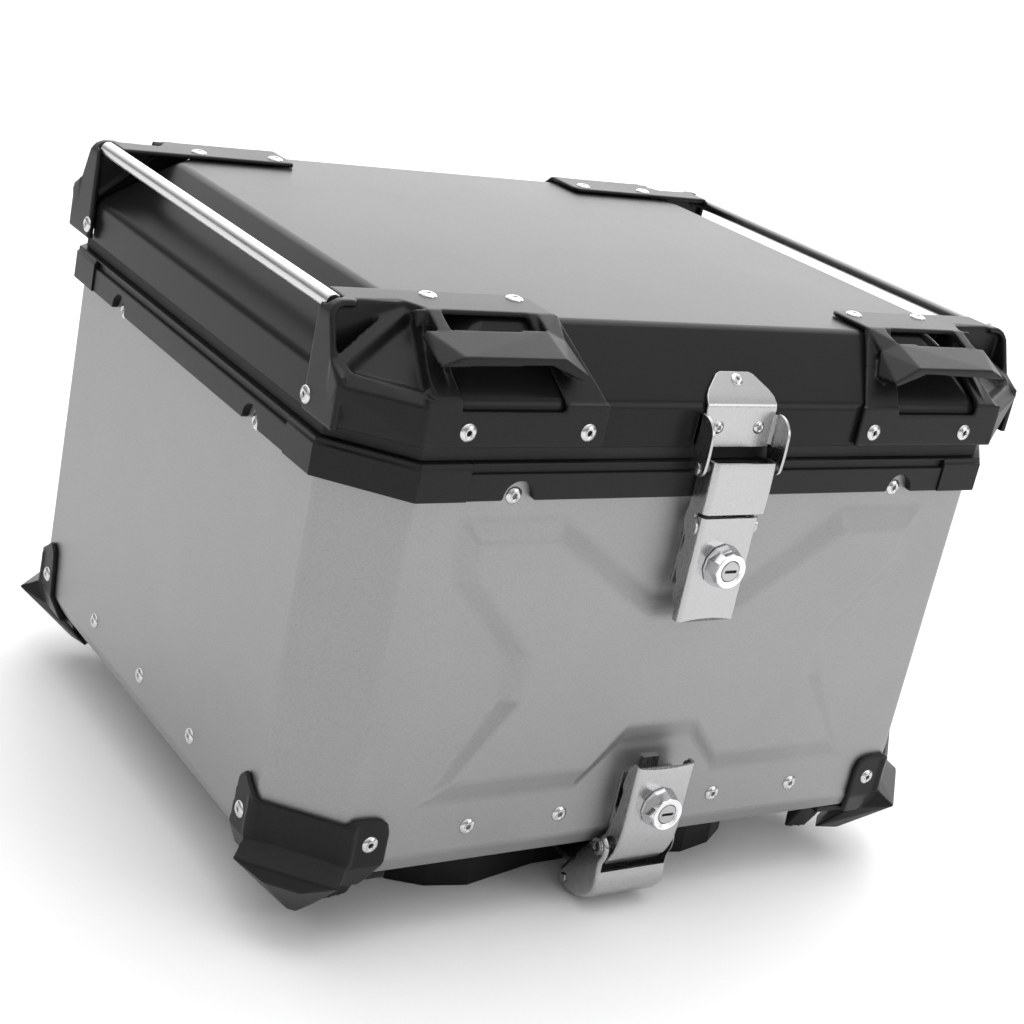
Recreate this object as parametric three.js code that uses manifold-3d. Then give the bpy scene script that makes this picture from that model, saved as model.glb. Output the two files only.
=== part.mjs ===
// Hard top case for a motorcycle: aluminium body and lid, plastic rim, corner brackets and feet,
// two key-locked draw latches, and the plate that it slides onto.
// Millimetres. +X right, -Y the latch side, +Z up. Origin: centre of the mounting plate's underside.

import * as THREE from 'three';
import { ConvexGeometry } from 'three/addons/geometries/ConvexGeometry.js';
import { mergeVertices } from 'three/addons/utils/BufferGeometryUtils.js';
import Module from 'manifold-3d';

// ---- driving dimensions ------------------------------------------------------------------------

const GAP = 0.3;                 // clearance between pieces that touch
const ROUND_SIDES = 16;          // sides of pins and bores

const CASE_WIDTH = 410;          // over the rim
const CASE_DEPTH = 357;          // over the rim
const CORNER_CUT = 34;           // leg of the chamfer at each upright corner of the rim
const BODY_HEIGHT = 195;         // rim underside to body underside
const BODY_SHEET = 1.5;
const EDGE_IN = 6.5;             // how far the bottom edge of the body leans in
const EDGE_HEIGHT = 11;

const RIM_HEIGHT = 18;
const RIM_PROUD = 4;             // rim face in front of the body wall
const RIM_LIP = 8;               // how far the rim reaches in over the sheet edge
const RIM_LIP_THICK = 1.7;
const RIM_CORNER_REACH = 26;     // how far a rim corner runs past the chamfer
const SEAL_WIDTH = 4;
const LID_SPLIT = 6.5;           // open height between rim and lid skirt

const LID_INSET = 2;             // lid skirt behind the rim face
const LID_SKIRT = 21;
const LID_BEVEL_HEIGHT = 29.5;
const LID_BEVEL_SIDE = 34;
const LID_BEVEL_FRONT = 30.5;
const LID_SHEET = 1.5;

const BRACKET_WALL = 3;
const BRACKET_FRONT_LENGTH = 128;  // along the front, from the lid's side face
const BRACKET_TOP_LENGTH = 110;
const BRACKET_SIDE_LENGTH = 46;    // along the side, from the lid's front face
const BRACKET_TOP_DEPTH = 64;
const TIE_SLOT_LENGTH = 58;
const TIE_SLOT_HEIGHT = 17;
const TIE_BAR_DEPTH = 3.5;
const RAIL_DIAMETER = 8;
const RAIL_HEIGHT = 0.8;           // rail centre below the lid's top face
const END_PLATE_THICK = 7;
const END_PLATE_DEPTH = 19;

const FOOT_WALL = 3;
const FOOT_FRONT_LENGTH = 54;
const FOOT_SIDE_LENGTH = 51;
const FOOT_HEIGHT = 31;            // above the bend at the foot of the wall
const FOOT_NOSE = 12;              // nose in front of the body wall
const FOOT_LEDGE = 12;             // top of the nose above the bend
const FOOT_PAD_REACH = 55;         // pad under the body, from the wall's corner
const FOOT_CLEARANCE = 6;          // feet above the mounting plate's underside

const PLATE_THICK = 20;
const PLATE_HALF_WIDTH = 113;
const PLATE_FRONT = 141;           // origin to the front corners of the plate
const PLATE_REAR = 128;
const PLATE_NOTCH_WIDTH = 46;
const PLATE_NOTCH_DEPTH = 10;
const TRAY_THICK = 13.7;
const TRAY_CLEARANCE = 1;          // between the tray and the plate
const TONGUE_SPACING = 120;
const TONGUE_WIDTH = 20;
const TONGUE_REACH = 14;
const TONGUE_THICK = 4;
const TONGUE_STEM = 8;
const TONGUE_Y = 96;               // front of the tongue's stem
const POCKET_DEPTH = 8;
const RELEASE_TRAVEL = 60;
const BOLT_SPACING_X = 170;
const BOLT_SPACING_Y = 120;
const BOLT_HEAD = 11;
const BOLT_HEAD_HEIGHT = 5;
const BOLT_DIAMETER = 6;

const HINGE_MARGIN = 4;            // hinge leaf beside the corner bracket
const HINGE_APART = 15;            // middle of the case to the inner end of a hinge
const HINGE_LENGTH = 56;
const HINGE_PIN = 4;
const HINGE_KNUCKLE = 8;
const HINGE_LEAF = 1.8;
const HINGE_BACK = 6;              // pin axis behind the rim face
const HINGE_UP = 3;                // pin axis above the rim's top

const LATCH_SHEET = 1.6;
const LATCH_PIN = 5;
const KEEPER_WIDTH = 43;
const KEEPER_TOP_WIDTH = 19;
const KEEPER_RISE = 12;            // how far the keeper climbs the bevel
const EAR_SPAN = 48;               // over the ears
const EAR_REACH = 11;              // ears in front of the keeper plate
const EAR_DROP = 11.5;             // ears below the lid skirt
const EAR_PIN = 4;
const SLEEVE_WIDTH = 38.4;
const SLEEVE_HEIGHT = 25.5;
const SLEEVE_FRONT = 13.5;         // sleeve face in front of the rim face
const TOP_LEVER_WIDTH = 34.8;
const TOP_LEVER_LENGTH = 54;
const LEVER_FRONT = 15.5;          // lever face in front of the body wall
const TOP_PIVOT_DROP = 12;         // pivot below the rim's underside
const TOP_PIVOT_OUT = 8;           // pivot in front of the body wall
const BOTTOM_LEVER_WIDTH = 36;
const BOTTOM_LEVER_LENGTH = 37;    // straight part
const BOTTOM_PIVOT_OUT = 4;
const BOTTOM_PIVOT_UP = 4;         // above the body's underside
const BASE_CHEEK_GAP = 0.6;
const BASE_PLATE_DROP = 9;          // base plate's top edge below the lever's
const BASE_TAB_WIDTH = 10;
const HOOK_WIDTH = 44.6;
const HOOK_PIN_IN = 20.5;          // hook's cross pin behind the pivot
const HOOK_PIN_DROP = 31;

const LOCK_BASE = 22;
const LOCK_FACE = 16;
const LOCK_BARREL = 14;
const LOCK_PLUG = 10.4;
const LOCK_PROUD = 8.5;
const LOCK_DEPTH = 9;              // barrel behind the lever's face
const TOP_LOCK_DROP = 31;          // lock centre below the rim's underside
const BOTTOM_LOCK_UP = 27;         // lock centre above the bottom pivot
const CAM_LENGTH = 15;
const CAM_WIDTH = 6;
const CAM_THICK = 1.6;

// ---- levels and faces that follow from them ------------------------------------------------------

const bodyBottom = PLATE_THICK + TRAY_CLEARANCE + TRAY_THICK + GAP;
const bendZ = bodyBottom + EDGE_HEIGHT;
const rimZ = bodyBottom + BODY_HEIGHT;
const rimTop = rimZ + RIM_HEIGHT;
const lidZ = rimTop + LID_SPLIT;
const creaseZ = lidZ + LID_SKIRT;
const lidTop = creaseZ + LID_BEVEL_HEIGHT;

const rimX = CASE_WIDTH / 2;
const rimY = CASE_DEPTH / 2;
const wallX = rimX - RIM_PROUD;
const wallY = rimY - RIM_PROUD;
const lidX = rimX - LID_INSET;
const lidY = rimY - LID_INSET;
const railX = lidX - RAIL_DIAMETER / 2 + 2;

// ---- materials -----------------------------------------------------------------------------------

function finish(color, roughness, metalness) {
  return new THREE.MeshStandardMaterial({ color, roughness, metalness });
}

const silverSheet = finish(0xa9abad, 0.45, 0.9);
const blackSheet = finish(0x232426, 0.5, 0.4);
const blackPlastic = finish(0x1b1b1c, 0.6, 0);
const rubber = finish(0x0e0e0e, 0.9, 0);
const stainless = finish(0xc9cacb, 0.3, 1);
const chrome = finish(0xe8e8e8, 0.1, 1);
const railMetal = finish(0xd6d8da, 0.25, 1);

// ---- solids --------------------------------------------------------------------------------------

const wasm = await Module();
wasm.setup();

// A closed three.js geometry as a solid.
function solid(geometry) {
  geometry.deleteAttribute('normal');
  geometry.deleteAttribute('uv');
  const merged = mergeVertices(geometry, 1e-4);
  return new wasm.Manifold(new wasm.Mesh({
    numProp: 3,
    vertProperties: new Float32Array(merged.attributes.position.array),
    triVerts: new Uint32Array(merged.index.array),
  }));
}

const hull = (points) => solid(new ConvexGeometry(points.map((p) => new THREE.Vector3(...p))));

function box(x0, x1, y0, y1, z0, z1) {
  const geometry = new THREE.BoxGeometry(x1 - x0, y1 - y0, z1 - z0);
  geometry.translate((x0 + x1) / 2, (y0 + y1) / 2, (z0 + z1) / 2);
  return solid(geometry);
}

// Rod along an axis ('x', 'y' or 'z') between two places, about the point (a, b) of the other two axes.
// A second diameter makes it a cone.
function rod(axis, from, to, a, b, diameter, endDiameter = diameter) {
  const geometry = new THREE.CylinderGeometry(endDiameter / 2, diameter / 2, to - from, ROUND_SIDES);
  geometry.translate(0, (from + to) / 2, 0);
  if (axis === 'x') {
    geometry.rotateZ(-Math.PI / 2);
    geometry.translate(0, a, b);
  } else if (axis === 'z') {
    geometry.rotateX(Math.PI / 2);
    geometry.translate(a, b, 0);
  } else {
    geometry.translate(a, 0, b);
  }
  return solid(geometry);
}

// Plate whose outline is drawn in the Y-Z plane, standing between two places along X.
function sidePlate(outline, x0, x1) {
  const shape = new THREE.Shape(outline.map(([y, z]) => new THREE.Vector2(y, z)));
  const geometry = new THREE.ExtrudeGeometry(shape, { depth: x1 - x0, bevelEnabled: false });
  geometry.applyMatrix4(new THREE.Matrix4().set(0, 0, 1, x0, 1, 0, 0, 0, 0, 1, 0, 0, 0, 0, 0, 1));
  return solid(geometry);
}

// Plate whose outline is drawn in plan, lying between two heights.
function flatPlate(outline, z0, z1) {
  const shape = new THREE.Shape(outline.map(([x, y]) => new THREE.Vector2(x, y)));
  const geometry = new THREE.ExtrudeGeometry(shape, { depth: z1 - z0, bevelEnabled: false });
  geometry.translate(0, 0, z0);
  return solid(geometry);
}

const mirrorX = (shape) => shape.mirror([1, 0, 0]);
const mirrorY = (shape) => shape.mirror([0, 1, 0]);
const join = (shapes) => shapes.reduce((all, next) => all.add(next));

// Arc of points about (y, z), angles in degrees from +Y towards +Z.
function arc(y, z, radius, from, to, steps = 6) {
  const points = [];
  for (let i = 0; i <= steps; i += 1) {
    const turn = THREE.MathUtils.degToRad(from + ((to - from) * i) / steps);
    points.push([y + radius * Math.cos(turn), z + radius * Math.sin(turn)]);
  }
  return points;
}

// Rectangle with its four corners cut off, counter-clockwise.
function octagon(halfX, halfY, cut) {
  return [
    [halfX, -halfY + cut], [halfX, halfY - cut], [halfX - cut, halfY], [-halfX + cut, halfY],
    [-halfX, halfY - cut], [-halfX, -halfY + cut], [-halfX + cut, -halfY], [halfX - cut, -halfY],
  ];
}

const ring = (halfX, halfY, cut, z) => octagon(halfX, halfY, cut).map(([x, y]) => [x, y, z]);

// Growing a chamfered outline by an offset moves the chamfer by the same offset.
const grownCut = (cut, offset) => cut + offset * (2 - Math.SQRT2);

const top = new THREE.Group();

function add(name, shape, material) {
  const { numProp, vertProperties, triVerts } = shape.getMesh();
  if (numProp !== 3) throw new Error(`${name}: positions only`);
  const geometry = new THREE.BufferGeometry();
  geometry.setAttribute('position', new THREE.BufferAttribute(new Float32Array(vertProperties), 3));
  geometry.setIndex(new THREE.BufferAttribute(new Uint32Array(triVerts), 1));
  geometry.computeVertexNormals();
  const mesh = new THREE.Mesh(geometry, material);
  mesh.name = name;
  top.add(mesh);
}

// One piece drawn at the front left corner, and its three mirror images.
function addCorners(name, shape, material) {
  add(`${name}_front_left`, shape, material);
  add(`${name}_front_right`, mirrorX(shape), material);
  add(`${name}_rear_left`, mirrorY(shape), material);
  add(`${name}_rear_right`, mirrorX(mirrorY(shape)), material);
}

// ---- body ----------------------------------------------------------------------------------------

// Outside of the body sheet, moved out by an offset.
function bodyForm(offset, z0 = bodyBottom - offset, z1 = rimTop - RIM_LIP_THICK - GAP) {
  const cut = grownCut(CORNER_CUT - RIM_PROUD * (2 - Math.SQRT2), offset);
  const x = wallX + offset;
  const y = wallY + offset;
  return hull([
    ...ring(x - EDGE_IN, y - EDGE_IN, cut, z0),
    ...ring(x, y, cut, bendZ),
    ...ring(x, y, cut, z1),
  ]);
}

function addBody() {
  const inside = bodyForm(-BODY_SHEET, bodyBottom + BODY_SHEET, rimTop + 1);
  add('body_shell', bodyForm(0, bodyBottom).subtract(inside), silverSheet);
}

// ---- rim -----------------------------------------------------------------------------------------

// Whole rim: an outside strip with a lip over the sheet edge; it is split into bands and corners.
function rimForm(proud) {
  const outerCut = grownCut(CORNER_CUT, proud);
  const outer = hull([
    ...ring(rimX + proud, rimY + proud, outerCut, rimZ),
    ...ring(rimX + proud, rimY + proud, outerCut, rimTop),
  ]);
  const cut = CORNER_CUT - RIM_PROUD * (2 - Math.SQRT2);
  const wallSpace = hull([
    ...ring(wallX + GAP, wallY + GAP, grownCut(cut, GAP), rimZ - 1),
    ...ring(wallX + GAP, wallY + GAP, grownCut(cut, GAP), rimTop - RIM_LIP_THICK),
  ]);
  const mouthCut = grownCut(CORNER_CUT, -RIM_LIP);
  const mouth = hull([
    ...ring(rimX - RIM_LIP, rimY - RIM_LIP, mouthCut, rimZ - 1),
    ...ring(rimX - RIM_LIP, rimY - RIM_LIP, mouthCut, rimTop + 1),
  ]);
  return outer.subtract(wallSpace).subtract(mouth);
}

function addRim() {
  const bandX = rimX - CORNER_CUT - RIM_CORNER_REACH;
  const bandY = rimY - CORNER_CUT - RIM_CORNER_REACH;
  const far = CASE_WIDTH;
  const band = rimForm(0);
  const low = rimZ - 2;
  const high = rimTop + 2;
  const front = box(-bandX + GAP / 2, bandX - GAP / 2, -far, 0, low, high);
  const side = box(-far, 0, -bandY + GAP / 2, bandY - GAP / 2, low, high);
  add('rim_band_front', band.intersect(front), blackPlastic);
  add('rim_band_rear', mirrorY(band.intersect(front)), blackPlastic);
  add('rim_band_left', band.intersect(side), blackPlastic);
  add('rim_band_right', mirrorX(band.intersect(side)), blackPlastic);
  const corner = box(-far, -bandX - GAP / 2, -far, -bandY - GAP / 2, low, high);
  addCorners('rim_corner', rimForm(1).intersect(corner), blackPlastic);

  const sealX = lidX - LID_SHEET;
  const sealY = lidY - LID_SHEET;
  const sealCut = grownCut(CORNER_CUT, -LID_INSET - LID_SHEET);
  const z0 = rimTop + GAP;
  const z1 = lidZ - GAP;
  const outer = flatPlate(octagon(sealX, sealY, sealCut), z0, z1);
  const innerCut = grownCut(sealCut, -SEAL_WIDTH);
  const inner = flatPlate(octagon(sealX - SEAL_WIDTH, sealY - SEAL_WIDTH, innerCut), z0 - 1, z1 + 1);
  add('rim_seal', outer.subtract(inner), rubber);
}

// ---- feet ----------------------------------------------------------------------------------------

function addFeet() {
  const wrap = bodyForm(FOOT_WALL).subtract(bodyForm(GAP));
  const x1 = -wallX + FOOT_FRONT_LENGTH;
  const y1 = -wallY + FOOT_SIDE_LENGTH;
  const low = bodyBottom - FOOT_WALL - 1;
  const region = hull([
    ...[low, bendZ + FOOT_HEIGHT - 3].flatMap((z) => [
      [-rimX - 20, -rimY - 20, z], [x1, -rimY - 20, z], [-rimX - 20, y1, z],
    ]),
    [x1, y1, low], [x1, y1, bendZ],
    [-rimX - 20, -rimY - 20, bendZ + FOOT_HEIGHT], [x1 - 20, -rimY - 20, bendZ + FOOT_HEIGHT],
    [-rimX - 20, y1 - 20, bendZ + FOOT_HEIGHT],
  ]);
  // The nose stands out from the chamfer and reaches down below the tray's tongues, so that the case
  // stands on its feet when it is off the plate. Each place is given along the front and along the side.
  const place = (u, v, z) => [[-wallX + u, -wallY + v, z], [-wallX + v, -wallY + u, z]];
  const ledge = bendZ + FOOT_LEDGE;
  const half = CORNER_CUT / 2;
  const nose = hull([
    ...place(CORNER_CUT, -FOOT_WALL, ledge),
    ...place(CORNER_CUT - 8, -FOOT_NOSE, bendZ - 1),
    ...place(half - 4, -1, bodyBottom),
    ...place(half, FOOT_WALL + 2, bodyBottom - 5),
    ...place(half + 10, half + 7, FOOT_CLEARANCE),
    ...place(FOOT_PAD_REACH, half + 16, FOOT_CLEARANCE),
    ...place(FOOT_PAD_REACH, half + 16, bodyBottom - FOOT_WALL),
    ...place(CORNER_CUT + 6, EDGE_IN, bodyBottom - FOOT_WALL),
    [-wallX + half, -wallY + half, ledge],
  ]);
  addCorners('foot', wrap.intersect(region).add(nose.subtract(bodyForm(GAP))), blackPlastic);
}

// ---- tray under the body, and the plate that it slides onto -----------------------------------------

function plateOutline(grow) {
  const x = PLATE_HALF_WIDTH + grow;
  const front = -PLATE_FRONT - grow;
  const rear = PLATE_REAR + grow;
  const notch = PLATE_NOTCH_WIDTH / 2;
  return [
    [-notch, front + PLATE_NOTCH_DEPTH], [notch, front + PLATE_NOTCH_DEPTH],
    [x * 0.62, front], [x - 20, front + 5], [x - 3, front + 16], [x, front + 30],
    [x - 12, rear - 24], [x - 30, rear], [-x + 30, rear], [-x + 12, rear - 24],
    [-x, front + 30], [-x + 3, front + 16], [-x + 20, front + 5], [-x * 0.62, front],
  ];
}

function addTray() {
  const z0 = PLATE_THICK + TRAY_CLEARANCE;
  let tray = flatPlate(plateOutline(4), z0, z0 + TRAY_THICK);
  for (const side of [-1, 1]) {
    const x = (side * TONGUE_SPACING) / 2;
    const half = TONGUE_WIDTH / 2;
    const foot = PLATE_THICK - POCKET_DEPTH + 1;
    tray = tray.add(box(x - half, x + half, TONGUE_Y, TONGUE_Y + TONGUE_STEM, foot, z0 + 1));
    const tip = TONGUE_Y + TONGUE_STEM + TONGUE_REACH;
    tray = tray.add(box(x - half, x + half, TONGUE_Y, tip, foot, foot + TONGUE_THICK));
  }
  add('base_tray', tray, blackPlastic);
}

function addPlate() {
  const tip = TONGUE_Y + TONGUE_STEM + TONGUE_REACH;
  const tongueZ = PLATE_THICK - POCKET_DEPTH + 1;
  let plate = flatPlate(plateOutline(0), 0, PLATE_THICK);
  for (const side of [-1, 1]) {
    const x = (side * TONGUE_SPACING) / 2;
    const half = TONGUE_WIDTH / 2 + 2;
    const floor = PLATE_THICK - POCKET_DEPTH;
    const pocketFront = TONGUE_Y - RELEASE_TRAVEL - 2;
    plate = plate.subtract(box(x - half, x + half, pocketFront, tip + 2, floor, PLATE_THICK + 1));
    const bridgeY = tip - TONGUE_REACH + 3;
    const seat = half + 6;
    const z0 = tongueZ + TONGUE_THICK + 0.6;
    const wide = seat + GAP;
    plate = plate.subtract(box(x - wide, x + wide, bridgeY - GAP, tip - 1 + GAP, z0, PLATE_THICK + 1));
    add(
      side < 0 ? 'plate_bridge_left' : 'plate_bridge_right',
      box(x - seat, x + seat, bridgeY, tip - 1, z0 + GAP, PLATE_THICK),
      stainless,
    );
  }
  let number = 1;
  for (const sx of [-1, 1]) {
    for (const sy of [-1, 1]) {
      const x = (sx * BOLT_SPACING_X) / 2;
      const y = (sy * BOLT_SPACING_Y) / 2;
      const seat = PLATE_THICK / 2;
      const bore = BOLT_DIAMETER + 4 * GAP;
      const sink = BOLT_HEAD + 4 * GAP;
      plate = plate.subtract(rod('z', -1, PLATE_THICK, x, y, bore));
      plate = plate.subtract(rod('z', seat, PLATE_THICK + 1, x, y, sink));
      const head = rod('z', seat + GAP, seat + GAP + BOLT_HEAD_HEIGHT, x, y, BOLT_HEAD);
      add(`plate_bolt_${number}`, head.add(rod('z', GAP, seat + 1, x, y, BOLT_DIAMETER)), stainless);
      number += 1;
    }
  }
  // The striker is let into the notch; its tongue reaches forward over the hook's cross pin.
  const notchY = -PLATE_FRONT + PLATE_NOTCH_DEPTH;
  const half = PLATE_NOTCH_WIDTH / 2 - 8;
  const tongueTop = hookPinZ + LATCH_PIN / 2 + 0.8 + 3;
  const seatZ = tongueTop - 3;
  plate = plate.subtract(box(-half - GAP, half + GAP, notchY - 1, notchY + 18, seatZ - GAP, PLATE_THICK + 1));
  add('plate_striker', box(-half, half, hookPinY - 2.5, notchY + 18 - GAP, seatZ, tongueTop), stainless);
  add('mount_plate', plate, blackPlastic);
}

// ---- lid -----------------------------------------------------------------------------------------

function lidForm(offset, z0 = lidZ, z1 = lidTop + offset) {
  const cut = grownCut(CORNER_CUT, offset - LID_INSET);
  const x = lidX + offset;
  const y = lidY + offset;
  const crease = creaseZ + offset / 2;
  return hull([
    ...ring(x, y, cut, z0),
    ...ring(x, y, cut, crease),
    ...ring(x - LID_BEVEL_SIDE, y - LID_BEVEL_FRONT, cut * 0.8, z1),
  ]);
}

function addLid() {
  const inside = lidForm(-LID_SHEET, lidZ - 1);
  add('lid_shell', lidForm(0).subtract(inside), blackSheet);
  const reach = lidY - BRACKET_SIDE_LENGTH + 2;
  for (const side of [-1, 1]) {
    const name = side < 0 ? 'rail_left' : 'rail_right';
    const rail = rod('y', -reach - GAP, reach + GAP, side * railX, lidTop - RAIL_HEIGHT, RAIL_DIAMETER);
    add(name, rail, railMetal);
  }
}

// Corner bracket with its tie-down bar, drawn at the front left, with its reach along the front.
function bracketForm(reach) {
  const far = CASE_WIDTH;
  const z0 = lidZ + 1;
  const outX = -lidX - BRACKET_WALL;
  const outY = -lidY - BRACKET_WALL;
  const frontEnd = -lidX + reach;
  const topEnd = -lidX + BRACKET_TOP_LENGTH;
  const sideEnd = -lidY + BRACKET_SIDE_LENGTH;
  const topY = -lidY + BRACKET_TOP_DEPTH;
  const topZ = lidTop + BRACKET_WALL;
  const cover = lidForm(BRACKET_WALL, z0, topZ).subtract(lidForm(GAP, z0 - 2));
  const skirt = box(-far, frontEnd, -far, sideEnd, z0, creaseZ + 2);
  const slope = hull([
    ...[-far, sideEnd].flatMap((y) => [
      [-far, y, creaseZ + 2], [frontEnd, y, creaseZ + 2], [-far, y, topZ + 1], [topEnd, y, topZ + 1],
    ]),
  ]);
  const cap = box(-far, topEnd, -far, topY, lidTop + GAP, topZ + 1);
  let bracket = cover.intersect(skirt.add(slope).add(cap));

  // Corner block over the chamfer, under the raised triangle.
  const cut = CORNER_CUT;
  bracket = bracket.add(hull([
    [outX + cut + 4, outY, creaseZ + 2], [outX, outY + cut, creaseZ + 2],
    [outX + cut + 12, outY + cut + 10, creaseZ + 2],
    [outX + cut + 4, outY, creaseZ + 18], [outX + 3, outY + cut, creaseZ + 10],
    [outX + cut + 4, outY + 20, topZ - 1], [outX + cut - 4, outY + cut, topZ],
    [outX + cut + 12, outY + cut + 10, topZ],
  ]).subtract(lidForm(GAP)));

  // End plate that holds the rail.
  const plateY = sideEnd - END_PLATE_DEPTH;
  const endPlate = hull([
    ...[outX, outX + END_PLATE_THICK].flatMap((x) => [
      [x, plateY, z0 + 12], [x, sideEnd, z0 + 12], [x, plateY, topZ - 4],
      [x, plateY + 5, topZ - 1], [x, sideEnd, topZ - 1],
    ]),
  ]);
  const shelf = box(outX, -lidX + LID_BEVEL_SIDE, plateY, sideEnd, lidTop + GAP, topZ);
  bracket = bracket.add(endPlate.subtract(lidForm(GAP))).add(shelf);
  const socket = RAIL_DIAMETER + 2 * GAP + 0.3;
  bracket = bracket.subtract(rod('y', sideEnd - 4 - GAP, sideEnd + 5, -railX, lidTop - RAIL_HEIGHT, socket));

  // Tie-down bar in front of the slope, with a slot below it and one above it.
  const barX0 = outX + cut + 2;
  const barX1 = barX0 + TIE_SLOT_LENGTH + 6;
  const barZ = creaseZ + TIE_SLOT_HEIGHT + 4;
  const bar = hull([
    ...[barX0, barX1].flatMap((x) => [
      [x, outY + 1, barZ], [x, outY + 20, barZ + 8],
      [x, outY + 2, barZ - TIE_BAR_DEPTH], [x, outY + 21, barZ + 8 - TIE_BAR_DEPTH],
    ]),
  ]);
  const barFoot = hull([
    ...[[barX1, barZ], [barX1 + 9, barZ - 8]].flatMap(([x, z]) => [
      [x, outY + 1, z], [x, outY + 21, z + 8], [x, outY + 2, z - TIE_BAR_DEPTH], [x, outY + 24, z],
    ]),
    [barX1 + 13, outY + 4, creaseZ + 3], [barX1 + 13, outY + 15, creaseZ + 15],
  ]);
  return bracket.add(bar).add(barFoot.subtract(lidForm(GAP)));
}

// The rear pair ends where the hinges begin.
function addBrackets() {
  const front = bracketForm(BRACKET_FRONT_LENGTH);
  const rear = mirrorY(bracketForm(lidX - HINGE_APART - HINGE_LENGTH - HINGE_MARGIN));
  add('lid_bracket_front_left', front, blackPlastic);
  add('lid_bracket_front_right', mirrorX(front), blackPlastic);
  add('lid_bracket_rear_left', rear, blackPlastic);
  add('lid_bracket_rear_right', mirrorX(rear), blackPlastic);
}

// ---- hinges --------------------------------------------------------------------------------------

function addHinges() {
  const axisY = rimY + HINGE_BACK;
  const axisZ = rimTop + HINGE_UP;
  const third = HINGE_LENGTH / 3;
  const bore = HINGE_PIN + 2 * GAP;
  for (const side of [-1, 1]) {
    const name = side < 0 ? 'left' : 'right';
    const x = side * (HINGE_APART + HINGE_LENGTH / 2);
    const x0 = x - HINGE_LENGTH / 2;
    const x1 = x + HINGE_LENGTH / 2;
    const leafY = rimY + GAP;

    let bodyLeaf = box(x0, x1, leafY, leafY + HINGE_LEAF, rimZ + 2, axisZ - HINGE_KNUCKLE / 2);
    for (const [a, b] of [[x0, x0 + third], [x1 - third, x1]]) {
      const arm = hull([a, b].flatMap((px) => [
        [px, leafY, axisZ - HINGE_KNUCKLE / 2 - 2], [px, leafY, axisZ - 2],
        [px, axisY, axisZ - HINGE_KNUCKLE / 2 - 1], [px, axisY, axisZ],
      ]));
      bodyLeaf = bodyLeaf.add(rod('x', a, b, axisY, axisZ, HINGE_KNUCKLE)).add(arm);
    }
    bodyLeaf = bodyLeaf.subtract(rod('x', x0 - 1, x1 + 1, axisY, axisZ, bore));
    add(`hinge_body_leaf_${name}`, bodyLeaf, blackSheet);

    const lidY0 = lidY + GAP;
    const a = x0 + third + 0.4;
    const b = x1 - third - 0.4;
    let lidLeaf = box(x0, x1, lidY0, lidY0 + HINGE_LEAF, lidZ + 1.5, creaseZ - 3);
    const arm = hull([a, b].flatMap((px) => [
      [px, lidY0, lidZ + 1.5], [px, lidY0, lidZ + 6],
      [px, axisY, axisZ + HINGE_KNUCKLE / 2], [px, axisY, axisZ],
    ]));
    lidLeaf = lidLeaf.add(rod('x', a, b, axisY, axisZ, HINGE_KNUCKLE)).add(arm);
    lidLeaf = lidLeaf.subtract(rod('x', x0 - 1, x1 + 1, axisY, axisZ, bore));
    add(`hinge_lid_leaf_${name}`, lidLeaf, blackSheet);

    add(`hinge_pin_${name}`, rod('x', x0 - 1, x1 + 1, axisY, axisZ, HINGE_PIN), stainless);
  }
}

// ---- top latch -----------------------------------------------------------------------------------

const earPinY = -rimY - 5;
const earPinZ = rimZ + 16.5;
const topPivotY = -wallY - TOP_PIVOT_OUT;
const topPivotZ = rimZ - TOP_PIVOT_DROP;
const leverY = -wallY - LEVER_FRONT;

function addKeeper() {
  const half = KEEPER_WIDTH / 2;
  const y0 = -lidY - GAP;
  const slope = LID_BEVEL_FRONT / LID_BEVEL_HEIGHT;
  const topY = y0 + KEEPER_RISE * slope;
  const plate = box(-half, half, y0 - LATCH_SHEET, y0, lidZ, creaseZ - 0.3);
  const apron = hull([
    ...[y0 - LATCH_SHEET, y0].flatMap((y) => [[-half, y, creaseZ - 0.6], [half, y, creaseZ - 0.6]]),
    ...[-LATCH_SHEET * 1.2, 0].flatMap((d) => [
      [-KEEPER_TOP_WIDTH / 2, topY + d, creaseZ + KEEPER_RISE],
      [KEEPER_TOP_WIDTH / 2, topY + d, creaseZ + KEEPER_RISE],
      [-half, y0 + d + 5 * slope, creaseZ + 5], [half, y0 + d + 5 * slope, creaseZ + 5],
    ]),
  ]);
  const bottom = lidZ - EAR_DROP;
  const front = y0 - LATCH_SHEET - EAR_REACH;
  const earOutline = [
    [y0, creaseZ - 3], [y0 - 6, creaseZ - 4], ...arc(front + 7, creaseZ - 14, 7, 110, 180, 4),
    [front, bottom + 10], ...arc(earPinY, bottom + 5, 5, 180, 350, 6),
    [y0 - LATCH_SHEET, lidZ - 1], [y0, lidZ],
  ];
  const outer = EAR_SPAN / 2;
  const bore = EAR_PIN + 2 * GAP;
  const ear = sidePlate(earOutline.reverse(), -outer, -outer + LATCH_SHEET);
  const bridge = box(-outer, -half + 1, y0 - LATCH_SHEET, y0, lidZ, creaseZ - 3);
  const left = ear.add(bridge);
  const bores = rod('x', -outer - 1, outer + 1, earPinY, earPinZ, bore);
  const raw = join([plate, apron, left, mirrorX(left)]);
  add('latch_keeper', raw.subtract(lidForm(GAP * 0.9)).subtract(bores), stainless);
  for (const side of [-1, 1]) {
    const inner = SLEEVE_WIDTH / 2 - LATCH_SHEET - 0.2;
    const span = [side * inner, side * (outer + 1)].sort((a, b) => a - b);
    const name = side < 0 ? 'keeper_pin_left' : 'keeper_pin_right';
    add(name, rod('x', span[0], span[1], earPinY, earPinZ, EAR_PIN), stainless);
  }
}

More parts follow.
